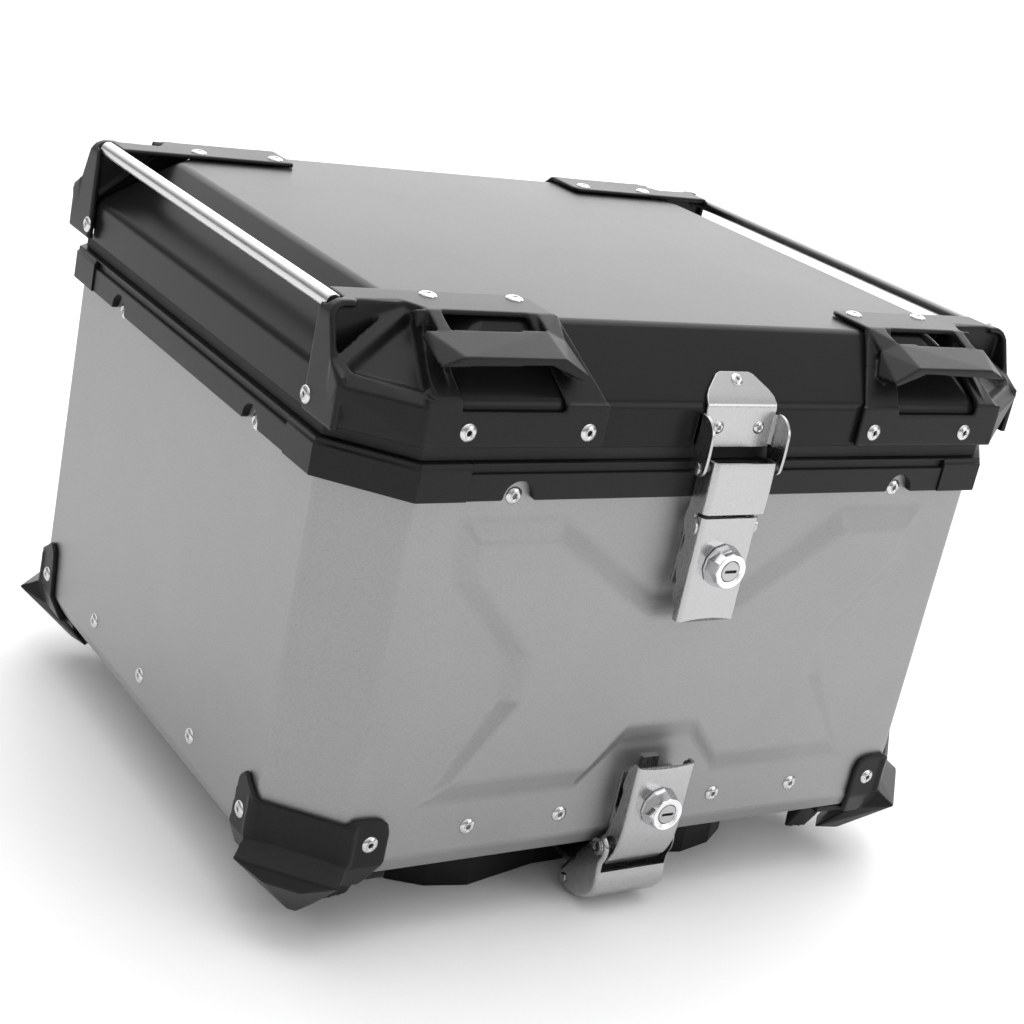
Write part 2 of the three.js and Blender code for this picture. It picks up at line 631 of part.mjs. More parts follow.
function addSleeve() {
  const half = SLEEVE_WIDTH / 2;
  const front = -rimY - SLEEVE_FRONT;
  const bottom = rimZ - 4.2;
  const height = bottom + SLEEVE_HEIGHT;
  const face = box(-half, half, front, front + LATCH_SHEET, bottom, height);
  const cheek = sidePlate([
    [front, bottom], [front + 5, bottom], [topPivotY - 4.5, topPivotZ + 1],
    ...arc(topPivotY, topPivotZ, 4.5, 190, 380, 6),
    [-rimY - 1, rimZ - 2], [-rimY - 1, earPinZ - 6],
    [earPinY + 3.5, earPinZ + 1], [earPinY + 1, height - 0.4],
    [front, height],
  ], -half, -half + LATCH_SHEET);
  const bores = rod('x', -half - 1, half + 1, earPinY, earPinZ, EAR_PIN + 2 * GAP);
  add('latch_sleeve', join([face, cheek, mirrorX(cheek)]).subtract(bores), stainless);
}

// Cone, barrel, plug and cam of a lock in a lever whose face is at leverY.
function addLock(prefix, z) {
  const face = leverY - LOCK_PROUD;
  const back = leverY + LOCK_DEPTH;
  const cone = rod('y', face, leverY - GAP, 0, z, LOCK_FACE, LOCK_BASE);
  const barrel = rod('y', leverY - GAP - 0.1, back, 0, z, LOCK_BARREL);
  const bore = rod('y', face - 1, back + 1, 0, z, LOCK_PLUG + 2 * GAP + 0.2);
  add(`${prefix}_lock_housing`, cone.add(barrel).subtract(bore), chrome);
  const slot = box(-3, 3, face - 1, face + 4, z - 0.7, z + 0.7);
  const plug = rod('y', face + 0.4, back + 0.4, 0, z, LOCK_PLUG);
  add(`${prefix}_lock_plug`, plug.subtract(slot), stainless);
  const camY = back + 0.7;
  const camTip = z + CAM_WIDTH / 2 - CAM_LENGTH;
  const cam = box(-CAM_WIDTH / 2, CAM_WIDTH / 2, camY, camY + CAM_THICK, camTip, z + CAM_WIDTH / 2);
  add(`${prefix}_lock_cam`, cam, stainless);
}

const lockHole = (z) => rod('y', leverY - 1, leverY + LATCH_SHEET + 1, 0, z, LOCK_BARREL + 2 * GAP + 0.3);
const pinHole = (y, z) => rod('x', -EAR_SPAN, EAR_SPAN, y, z, LATCH_PIN + 2 * GAP);

function addTopLatch() {
  const half = TOP_LEVER_WIDTH / 2;
  const z1 = rimZ - 7;
  const z0 = z1 - TOP_LEVER_LENGTH;
  const face = box(-half, half, leverY, leverY + LATCH_SHEET, z0, z1);
  const cheek = sidePlate([
    [leverY, z0], [leverY + 9, z0 + 10], [leverY + 8, z0 + 19],
    [leverY + 11, z0 + 26], [leverY + 10, topPivotZ - 14],
    [topPivotY + 4.5, topPivotZ - 5], ...arc(topPivotY, topPivotZ, 4.8, -30, 100, 5), [leverY, z1],
  ], -half, -half + LATCH_SHEET);
  const lever = join([face, cheek, mirrorX(cheek)]);
  const lockZ = rimZ - TOP_LOCK_DROP;
  add('top_lever', lever.subtract(pinHole(topPivotY, topPivotZ)).subtract(lockHole(lockZ)), stainless);
  addLock('top', lockZ);

  const baseHalf = half - LATCH_SHEET - BASE_CHEEK_GAP;
  const y0 = -wallY - GAP;
  const back = box(-baseHalf, baseHalf, y0 - LATCH_SHEET, y0, rimZ - 46, rimZ - 4);
  const baseCheek = sidePlate([
    [y0, topPivotZ - 10], [y0, topPivotZ + 4], [topPivotY, topPivotZ + 4.2],
    ...arc(topPivotY, topPivotZ, 4.2, 110, 250, 4), [topPivotY + 2, topPivotZ - 6],
  ].reverse(), -baseHalf, -baseHalf + LATCH_SHEET);
  const base = join([back, baseCheek, mirrorX(baseCheek)]);
  add('top_latch_base', base.subtract(pinHole(topPivotY, topPivotZ)), stainless);
  add('top_lever_pin', rod('x', -half, half, topPivotY, topPivotZ, LATCH_PIN), stainless);
}

// ---- bottom latch ----------------------------------------------------------------------------------

const bottomPivotY = -wallY - BOTTOM_PIVOT_OUT;
const bottomPivotZ = bodyBottom + BOTTOM_PIVOT_UP;
const hookPinY = bottomPivotY + HOOK_PIN_IN;
const hookPinZ = bottomPivotZ - HOOK_PIN_DROP;

function addBottomLatch() {
  const half = BOTTOM_LEVER_WIDTH / 2;
  const bend = bottomPivotZ + 13;
  const z1 = bend + BOTTOM_LEVER_LENGTH;
  const py = bottomPivotY;
  const pz = bottomPivotZ;
  const foot = [[leverY, bend], [leverY + 1.6, pz + 3], [leverY + 5, pz - 5], [py - 2.5, pz - 10]];
  const inner = foot.map(([y, z], i) => [y + LATCH_SHEET, z + 0.3 * i]).reverse();
  const face = sidePlate([[leverY, z1], ...foot, ...inner, [leverY + LATCH_SHEET, z1]], -half, half);
  const cheek = sidePlate([
    [leverY, z1], ...foot, [py + 1, pz - 6], ...arc(py, pz, 4.6, -40, 60, 4), [py - 2, pz + 15],
    [py - 2, pz + 34], [py - 4, z1 - 3],
  ], -half, -half + LATCH_SHEET);
  const lockZ = pz + BOTTOM_LOCK_UP;
  const lever = join([face, cheek, mirrorX(cheek)]);
  add('bottom_lever', lever.subtract(pinHole(py, pz)).subtract(lockHole(lockZ)), stainless);
  addLock('bottom', lockZ);

  const baseHalf = half - LATCH_SHEET - BASE_CHEEK_GAP;
  const y0 = -wallY - GAP;
  const back = box(-baseHalf, baseHalf, y0 - LATCH_SHEET, y0, bendZ + 2, z1 - BASE_PLATE_DROP)
    .add(box(-BASE_TAB_WIDTH / 2, BASE_TAB_WIDTH / 2, y0 - LATCH_SHEET, y0, z1 - BASE_PLATE_DROP - 1, z1 - 2));
  const baseCheek = sidePlate([
    [y0, bendZ + 2], [y0, bendZ + 16], [py - 3, pz + 14], ...arc(py, pz, 4.2, 180, 330, 5),
  ], -baseHalf, -baseHalf + LATCH_SHEET);
  add('bottom_latch_base', join([back, baseCheek, mirrorX(baseCheek)]).subtract(pinHole(py, pz)), stainless);
  add('bottom_lever_pin', rod('x', -HOOK_WIDTH / 2 - 1, HOOK_WIDTH / 2 + 1, py, pz, LATCH_PIN), stainless);

  // The hook: a scoop whose cheeks swing on the same pin, with a floor from its lip to its rear end.
  const out = HOOK_WIDTH / 2;
  const sheet = 1.8;
  const lip = [py - 4.2, pz - 14];
  const belly = [[py - 5, pz - 22], [py + 2, pz - 31], [py + 9, pz - 35], [hookPinY - 2, hookPinZ - 5.6]];
  const hookCheek = sidePlate([
    ...arc(py, pz, 6, 30, 200, 6), [py - 4, pz - 8], lip,
    ...belly, ...arc(hookPinY, hookPinZ, 5.4, -90, 30, 4),
  ].reverse(), -out, -out + sheet);
  const floorLine = [lip, ...belly];
  const upper = floorLine.map(([y, z]) => [y + 1.3, z + 1.3]).reverse();
  const floor = sidePlate([...floorLine, ...upper], -out, out);
  const hook = join([hookCheek, mirrorX(hookCheek), floor]);
  add('bottom_hook', hook.subtract(pinHole(py, pz)).subtract(pinHole(hookPinY, hookPinZ)), stainless);
  add('bottom_hook_pin', rod('x', -out - 1, out + 1, hookPinY, hookPinZ, LATCH_PIN), stainless);
}

addPlate();
addTray();
addBody();
addRim();
addFeet();
addLid();
addBrackets();
addHinges();
addKeeper();
addSleeve();
addTopLatch();
addBottomLatch();

export default top;
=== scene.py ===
# Looks of a hard motorcycle top case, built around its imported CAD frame: pressed aluminium body,
# black lid, moulded rim, brackets and feet, and two key-locked draw latches.
# Lengths are in millimetres until a mesh is made; X right, -Y the latch side, Z up.

import math

import bmesh
import bpy
from mathutils import Matrix, Vector


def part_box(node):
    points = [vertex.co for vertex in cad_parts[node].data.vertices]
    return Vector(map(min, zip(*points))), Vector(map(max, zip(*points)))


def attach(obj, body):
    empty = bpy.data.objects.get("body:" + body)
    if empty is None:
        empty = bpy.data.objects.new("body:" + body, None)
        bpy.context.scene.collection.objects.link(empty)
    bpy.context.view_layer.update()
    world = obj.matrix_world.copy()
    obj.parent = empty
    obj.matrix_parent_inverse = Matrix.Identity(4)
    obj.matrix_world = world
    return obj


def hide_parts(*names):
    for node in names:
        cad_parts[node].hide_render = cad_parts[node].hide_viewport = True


bl_info = {
    "name": "Motorcycle Top Case", "version": (1, 0, 0), "blender": (4, 5, 0),
    "location": "View3D > Sidebar > Top Case",
    "description": "Builds the looks of a riveted aluminium top case around its CAD frame",
    "category": "Object",}

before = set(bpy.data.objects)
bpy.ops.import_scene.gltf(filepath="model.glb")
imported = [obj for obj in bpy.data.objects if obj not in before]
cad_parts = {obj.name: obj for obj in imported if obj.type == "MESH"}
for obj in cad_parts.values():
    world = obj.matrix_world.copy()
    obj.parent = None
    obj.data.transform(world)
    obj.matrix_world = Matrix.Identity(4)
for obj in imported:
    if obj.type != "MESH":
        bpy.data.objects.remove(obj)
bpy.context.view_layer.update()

MM = 0.001


# ---- faces and levels, read from the frame ----

def low(node, axis):
    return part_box(node)[0][axis] / MM


def high(node, axis):
    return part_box(node)[1][axis] / MM


def middle(node, axes=(1, 2)):
    return [(low(node, axis) + high(node, axis)) / 2 for axis in axes]


RIM_X = high("rim_band_right", 0)
RIM_Y = high("rim_band_rear", 1)
RIM_Z = low("rim_band_front", 2)
RIM_TOP = high("rim_band_front", 2)
WALL_X = high("body_shell", 0)
WALL_Y = high("body_shell", 1)
BODY_Z = low("body_shell", 2)
BODY_TOP = high("body_shell", 2)
LID_X = high("lid_shell", 0)
LID_Y = high("lid_shell", 1)
LID_Z = low("lid_shell", 2)
LID_TOP = high("lid_shell", 2)
RAIL_X, RAIL_Z = middle("rail_right", (0, 2))

CORNER = 34                  # leg of the rim's corner chamfer
BEND_Z = BODY_Z + 11         # the body leans in below this
EDGE_IN = 6.5
CREASE_Z = LID_Z + 21
BEVEL_X = 34                 # the lid's slopes, in from the skirt
BEVEL_Y = 30.5
LID_CORNER = 9               # the lid's own corners are cut deeper, under the brackets
BRACKET_OUT = 3              # the brackets stand this far outside the lid
SHEET = 1.6                  # latch sheet
SHARP_ANGLE = 32             # smooth shading stops at folds sharper than this


def cut_at(offset):
    """Leg of the corner chamfer on an outline that lies this far outside the rim."""
    return CORNER + offset * (2 - math.sqrt(2))


def octagon(half_x, half_y, cut):
    return [
        (half_x, cut - half_y), (half_x, half_y - cut), (half_x - cut, half_y), (cut - half_x, half_y),
        (-half_x, half_y - cut), (-half_x, cut - half_y), (cut - half_x, -half_y), (half_x - cut, -half_y)]


# ---- shapes: lists of corners and faces, in millimetres ----

class Shape:
    """Corners and faces that later become one mesh."""

    def __init__(self, corners=(), faces=()):
        self.corners = [tuple(c) for c in corners]
        self.faces = [tuple(f) for f in faces]

    def __add__(self, other):
        base = len(self.corners)
        moved = [tuple(i + base for i in face) for face in other.faces]
        return Shape(self.corners + other.corners, self.faces + moved)

    def turned(self, matrix):
        return Shape([matrix @ Vector(c) for c in self.corners], self.faces)

    def moved(self, x, y, z):
        return self.turned(Matrix.Translation((x, y, z)))

    def mirrored(self, x=1, y=1):
        flip = x * y < 0
        corners = [(cx * x, cy * y, cz) for cx, cy, cz in self.corners]
        return Shape(corners, [f[::-1] for f in self.faces] if flip else self.faces)


def loft(rings, closed=True, capped=True):
    """Skin over rings that hold the same number of points."""
    count = len(rings[0])
    corners = [p for ring in rings for p in ring]
    faces = []
    for i in range(len(rings) - 1):
        for j in range(count if closed else count - 1):
            k = (j + 1) % count
            faces.append((i * count + j, i * count + k, (i + 1) * count + k, (i + 1) * count + j))
    if capped:
        faces += [tuple(range(count))[::-1], tuple(range((len(rings) - 1) * count, len(rings) * count))]
    return Shape(corners, faces)


def prism(outline, axis, start, end):
    """Outline drawn in the two other axes, in x, y, z order, standing between two places on an axis."""
    def put(a, b, along):
        return {"x": (along, a, b), "y": (a, along, b), "z": (a, b, along)}[axis]
    return loft([[put(a, b, along) for a, b in outline] for along in (start, end)])


def block(x0, x1, y0, y1, z0, z1):
    return prism([(x0, y0), (x1, y0), (x1, y1), (x0, y1)], "z", z0, z1)


def hull(points):
    work = bmesh.new()
    for p in points:
        work.verts.new(p)
    bmesh.ops.convex_hull(work, input=work.verts)
    loose = [v for v in work.verts if not v.link_faces]
    bmesh.ops.delete(work, geom=loose, context="VERTS")
    flat = [e for e in work.edges if len(e.link_faces) == 2 and e.calc_face_angle(0) < 0.002]
    bmesh.ops.dissolve_edges(work, edges=flat, use_verts=False)
    work.verts.index_update()
    shape = Shape([v.co for v in work.verts], [[v.index for v in f.verts] for f in work.faces])
    work.free()
    return shape


def revolve(profile, axis, centre, steps=32, hollow=False):
    """Profile of (radius, place along the axis), turned about an axis through a point."""
    rings = []
    for radius, along in profile + profile[:1] if hollow else profile:
        ring = []
        for i in range(steps):
            turn = 2 * math.pi * i / steps
            a, b = radius * math.cos(turn), radius * math.sin(turn)
            ring.append({"x": (along, a, b), "y": (b, along, a), "z": (a, b, along)}[axis])
        rings.append(ring)
    return loft(rings, capped=not hollow).moved(*centre)


def rod(axis, start, end, centre, diameter, edge=0.4, steps=32):
    r = diameter / 2
    profile = [(r - edge, start), (r, start + edge), (r, end - edge), (r - edge, end)]
    return revolve(profile, axis, centre, steps)


def arc(centre, radius, start, end, steps=8):
    """Points round a centre, from one angle to another, in degrees."""
    points = []
    for i in range(steps + 1):
        turn = math.radians(start + (end - start) * i / steps)
        points.append((centre[0] + radius * math.cos(turn), centre[1] + radius * math.sin(turn)))
    return points


def rounded(outline, radius, steps=4):
    """Outline with each corner turned into a curve of about this radius."""
    result = []
    count = len(outline)
    for i in range(count):
        here = Vector(outline[i])
        before = Vector(outline[i - 1]) - here
        after = Vector(outline[(i + 1) % count]) - here
        reach = min(radius, before.length / 2.1, after.length / 2.1)
        a = here + before.normalized() * reach
        b = here + after.normalized() * reach
        for k in range(steps + 1):
            t = k / steps
            result.append(tuple(a * (1 - t) ** 2 + here * 2 * t * (1 - t) + b * t ** 2))
    return result


# ---- meshes ----

def placed(name, data):
    """New object in the scene."""
    obj = bpy.data.objects.new(name, data)
    bpy.context.scene.collection.objects.link(obj)
    return obj


def raw_object(name, shape):
    mesh = bpy.data.meshes.new(name)
    mesh.from_pydata([Vector(c) * MM for c in shape.corners], [], shape.faces)
    work = bmesh.new()
    work.from_mesh(mesh)
    bmesh.ops.remove_doubles(work, verts=work.verts, dist=1e-6)
    bmesh.ops.recalc_face_normals(work, faces=work.faces)
    work.to_mesh(mesh)
    work.free()
    return placed(name, mesh)


def bake(obj):
    """Applies an object's modifiers to its mesh."""
    bpy.context.view_layer.update()
    evaluated = obj.evaluated_get(bpy.context.evaluated_depsgraph_get())
    mesh = bpy.data.meshes.new_from_object(evaluated)
    obj.modifiers.clear()
    old = obj.data
    obj.data = mesh
    bpy.data.meshes.remove(old)


def combine(obj, tool, operation):
    """Joins, cuts or meets an object with another one, which is used up."""
    step = obj.modifiers.new("carve", "BOOLEAN")
    step.object = tool
    step.operation = operation
    step.solver = "MANIFOLD"
    bake(obj)
    mesh = tool.data
    bpy.data.objects.remove(tool)
    bpy.data.meshes.remove(mesh)


def carve(obj, shapes, operation):
    """Joins shapes to an object or cuts them out of it, one after another."""
    for shape in shapes:
        combine(obj, raw_object("tool", shape), operation)


def mirrored_copy(obj, name, x, y):
    mesh = obj.data.copy()
    mesh.transform(Matrix.Diagonal((x, y, 1, 1)))
    if x * y < 0:
        mesh.flip_normals()
    return placed(name, mesh)


def settle(obj, body, slot, look, replaces=()):
    """Gives a piece its finish, and ties it to the frame."""
    obj.data.materials.clear()
    obj.data.materials.append(look[slot])
    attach(obj, body)
    if replaces:
        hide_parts(*replaces)
    return obj


def bend_edges(obj, name, width, segments, angle):
    """Rounds the edges that turn by more than an angle, given in degrees."""
    bevel = obj.modifiers.new(name, "BEVEL")
    bevel.width = width * MM
    bevel.segments = segments
    bevel.limit_method = "ANGLE"
    bevel.angle_limit = math.radians(angle)


def thicken(obj, thick, offset, even):
    solid = obj.modifiers.new("sheet", "SOLIDIFY")
    solid.thickness = thick * MM
    solid.offset = offset
    solid.use_even_offset = even
    bake(obj)


def soften_edges(obj, edge, angle=30, segments=2):
    mesh = obj.data
    mesh.polygons.foreach_set("use_smooth", [True] * len(mesh.polygons))
    mesh.set_sharp_from_angle(angle=math.radians(SHARP_ANGLE))
    if edge:
        bend_edges(obj, "edges", edge, segments, angle)
    obj.modifiers.new("even", "WEIGHTED_NORMAL").keep_sharp = True


def piece(name, shape, body, slot, look, replaces=(), edge=0.4, segments=2, angle=30):
    """Closed form with small rounded edges."""
    obj = raw_object(name, shape)
    soften_edges(obj, edge, angle, segments)
    return settle(obj, body, slot, look, replaces)


def folded(name, shape, body, slot, look, replaces=(), thick=1.6, fold=3.0, edge=0.3):
    """Open sheet that is given a thickness; its folds and its edges are rounded."""
    obj = raw_object(name, shape)
    bend_edges(obj, "folds", fold, 4, 5)
    thicken(obj, thick, -1, True)
    soften_edges(obj, edge, 50)
    return settle(obj, body, slot, look, replaces)


CORNERS = {"front_left": (1, 1), "front_right": (-1, 1), "rear_left": (1, -1), "rear_right": (-1, -1)}


# ---- finishes ----

def node(tree, kind, inputs=None, **settings):
    """New node; an input that is given a socket is linked to it, any other is set to its value."""
    made = tree.nodes.new(kind)
    for key, value in settings.items():
        setattr(made, key, value)
    for key, value in (inputs or {}).items():
        if isinstance(value, bpy.types.NodeSocket):
            tree.links.new(value, made.inputs[key])
        else:
            made.inputs[key].default_value = value
    return made


def ranged(tree, source, start, end, at_start=0.0, at_end=1.0):
    """Carries a value over from one range to another."""
    limits = {"From Min": start, "From Max": end, "To Min": at_start, "To Max": at_end}
    return node(tree, "ShaderNodeMapRange", {"Value": source, **limits}).outputs["Result"]


def blended(tree, amount, first, second):
    return node(tree, "ShaderNodeMix", {0: amount, 6: first, 7: second}, data_type="RGBA").outputs[2]


def finish(name, base, metallic=0.0, rough=0.4, rough_span=0.06, mottle=0.08, grain=1500.0,
           relief=0.02, streak=(1, 1, 1), coat=0.0, coat_rough=0.3, speck=0.0, gloss=0.5):
    """Procedural surface: a fine grain, a broad mottle, and a roughness that wanders.

    The frame has flat materials under the plain names, so these get a name of their own.
    """
    name = f"{name}_finish"
    if name in bpy.data.materials:
        return bpy.data.materials[name]
    made = bpy.data.materials.new(name)
    made.use_nodes = True
    tree = made.node_tree
    shader = tree.nodes["Principled BSDF"]
    for key, value in (("Metallic", metallic), ("Specular IOR Level", gloss), ("Coat Weight", coat),
                       ("Coat Roughness", coat_rough)):
        shader.inputs[key].default_value = value

    place = node(tree, "ShaderNodeTexCoord").outputs["Object"]
    stretched = node(tree, "ShaderNodeMapping", {"Vector": place, "Scale": streak}).outputs["Vector"]
    fine = node(tree, "ShaderNodeTexNoise",
                {"Vector": stretched, "Scale": grain, "Detail": 4.0, "Roughness": 0.65}).outputs["Fac"]
    broad = node(tree, "ShaderNodeTexNoise",
                 {"Vector": place, "Scale": 18.0, "Detail": 3.0, "Roughness": 0.5}).outputs["Fac"]
    slow = node(tree, "ShaderNodeMath", {0: broad, 1: 0.3}, operation="MULTIPLY").outputs["Value"]
    tone = node(tree, "ShaderNodeMath", {0: fine, 1: 0.7, 2: slow}, operation="MULTIPLY_ADD").outputs[
        "Value"]

    dark = [c * (1 - mottle) for c in base[:3]] + [1]
    light = [min(1, c * (1 + mottle)) for c in base[:3]] + [1]
    tint = blended(tree, ranged(tree, tone, 0.33, 0.67), dark, light)
    if speck:
        dots = node(tree, "ShaderNodeTexVoronoi", {"Vector": place, "Scale": grain * 0.6}).outputs[
            "Distance"]
        tint = blended(
            tree, ranged(tree, dots, 0.10, 0.35, speck, 0.0), tint, [c * 0.55 for c in base[:3]] + [1])
    tree.links.new(tint, shader.inputs["Base Color"])
    wander = ranged(tree, tone, 0.3, 0.7, rough - rough_span, rough + rough_span)
    tree.links.new(wander, shader.inputs["Roughness"])
    bump = node(tree, "ShaderNodeBump", {"Strength": 0.7, "Distance": relief * MM, "Height": fine})
    tree.links.new(bump.outputs["Normal"], shader.inputs["Normal"])
    return made


def looks(context):
    """The case's finishes, in the colours that are set in the sidebar."""
    tint = context.scene.top_case_colours
    # Each row: colour, metallic, roughness and its span, mottle, grain per metre, relief in millimetres.
    rows = {
        "silver_sheet": ((tint.silver, 0.80, 0.46, 0.05, 0.10, 1100, 0.07), {"speck": 0.25}),
        "black_sheet": ((tint.sheet, 0.0, 0.32, 0.03, 0.10, 900, 0.006),
        {"coat": 0.20, "coat_rough": 0.22, "gloss": 0.05}), "black_plastic": ((tint.plastic, 0.0, 0.40, 0.06,
        0.30, 900, 0.07), {"gloss": 0.20}), "seal_rubber": ((tint.rubber, 0.0, 0.75, 0.08, 0.15, 900, 0.03),
        {}), "rail_metal": ((tint.rail, 1.0, 0.28, 0.06, 0.06, 500, 0.01), {"streak": (9, 0.25, 9)}),
        "stainless": ((tint.steel, 1.0, 0.27, 0.07, 0.07, 700, 0.012), {"streak": (6, 6, 0.3)}),
        "steel_pin": ((tint.steel, 1.0, 0.22, 0.05, 0.08, 900, 0.01), {}),
        "rivet_metal": ((tint.rivet, 1.0, 0.25, 0.06, 0.06, 1500, 0.015), {}),
        "lock_chrome": ((tint.chrome, 1.0, 0.08, 0.03, 0.03, 400, 0.003), {}),
        "lock_face": ((tint.steel, 1.0, 0.3, 0.06, 0.06, 2200, 0.01), {"streak": (0.3, 4, 4)}),}
    return {name: finish(name, *plain, **extra) for name, (plain, extra) in rows.items()}


# ---- forms of the sheet-metal pieces ----

def pressed_panel(half, z0, z1, y, outer, inner, height):
    """Flat wall with a raised field: outer and inner are the foot and the top of its sloped edge."""
    work = bmesh.new()
    edges = []
    for outline in ([(-half, z0), (half, z0), (half, z1), (-half, z1)], outer):
        corners = [work.verts.new((px, y, pz)) for px, pz in outline]
        edges += [work.edges.new((corners[i - 1], corners[i])) for i in range(len(corners))]
    bmesh.ops.triangle_fill(work, edges=edges, use_beauty=True, use_dissolve=False)
    work.verts.index_update()
    flat = Shape([v.co for v in work.verts], [[v.index for v in f.verts] for f in work.faces])
    work.free()
    slope = loft(
        [[(px, y, pz) for px, pz in outer], [(px, y - height, pz) for px, pz in inner]], capped=False)
    field = Shape([(px, y - height, pz) for px, pz in inner], [tuple(range(len(inner)))])
    return flat + slope + field


def relief_outline(inset):
    """Outline of the pressed field: wide top and bottom, waisted sides, and a dip for each latch."""
    i = inset
    half = [
        (0, -52 - i), (24 + i * 0.3, -52 - i), (86 + i * 0.3, -10 - i), (143 - i, -10 - i),
        (141 - i, -40 + i * 0.3), (102 - i, -80), (101 - i, -102), (134 - i * 1.1, -156 + i),
        (45 - i * 0.5, -156 + i), (24 - i * 0.3, -134 + i), (0, -134 + i)]
    right = [(x, RIM_Z + z) for x, z in half]
    left = [(-x, z) for x, z in right[1:-1]][::-1]
    return right + left


def channel(rows, half, depth, radius, thick=SHEET, steps=5):
    """Sheet folded into a U that opens to the rear; each row is its height, its face and its arch."""
    def side(inset):
        r = max(radius - inset, 0.5)
        points = [(half - inset, depth)]
        for k in range(steps + 1):
            turn = math.radians(90 * k / steps)
            points.append((half - inset - r + r * math.cos(turn), inset + r - r * math.sin(turn)))
        return points
    outer, inner = side(0), side(thick)
    plan = outer + [(p * (half - radius), 0) for p in (0.66, 0.33, 0, -0.33, -0.66)]
    plan += [(-x, y) for x, y in outer[::-1]]
    plan += [(-x, y) for x, y in inner]
    plan += [(p * (half - radius), thick) for p in (-0.66, -0.33, 0, 0.33, 0.66)]
    plan += inner[::-1]
    rings = []
    for z, face, arch in rows:
        rings.append([(x, face + y, z + arch * (1 - (x / half) ** 2)) for x, y in plan])
    return loft(rings)


def cheeks(outline, outside, thick=SHEET):
    """A pair of flat cheeks, drawn in y and z."""
    return [prism(outline, "x", -outside, thick - outside), prism(outline, "x", outside - thick, outside)]


# ---- forms of the moulded pieces ----

def lid_hull(grow, floor=None, ceiling=None):
    cut = cut_at(grow - 2) + LID_CORNER
    x, y = LID_X + grow, LID_Y + grow
    rings = [(x, y, cut, floor if floor else LID_Z), (x, y, cut, CREASE_Z + grow / 2),
             (x - BEVEL_X, y - BEVEL_Y, cut * 0.8, ceiling if ceiling else LID_TOP + grow)]
    return hull([(a, b, z) for hx, hy, c, z in rings for a, b in octagon(hx, hy, c)])


def body_hull(grow, floor):
    cut = cut_at(WALL_X - RIM_X + grow)
    x, y = WALL_X + grow, WALL_Y + grow
    rings = [(x - EDGE_IN, y - EDGE_IN, floor), (x, y, BEND_Z), (x, y, RIM_Z)]
    return hull([(a, b, z) for hx, hy, z in rings for a, b in octagon(hx, hy, cut)])


def thickened(points, way):
    """Plate between a set of corners and the same corners moved."""
    return hull(points + [tuple(Vector(p) + Vector(way)) for p in points])


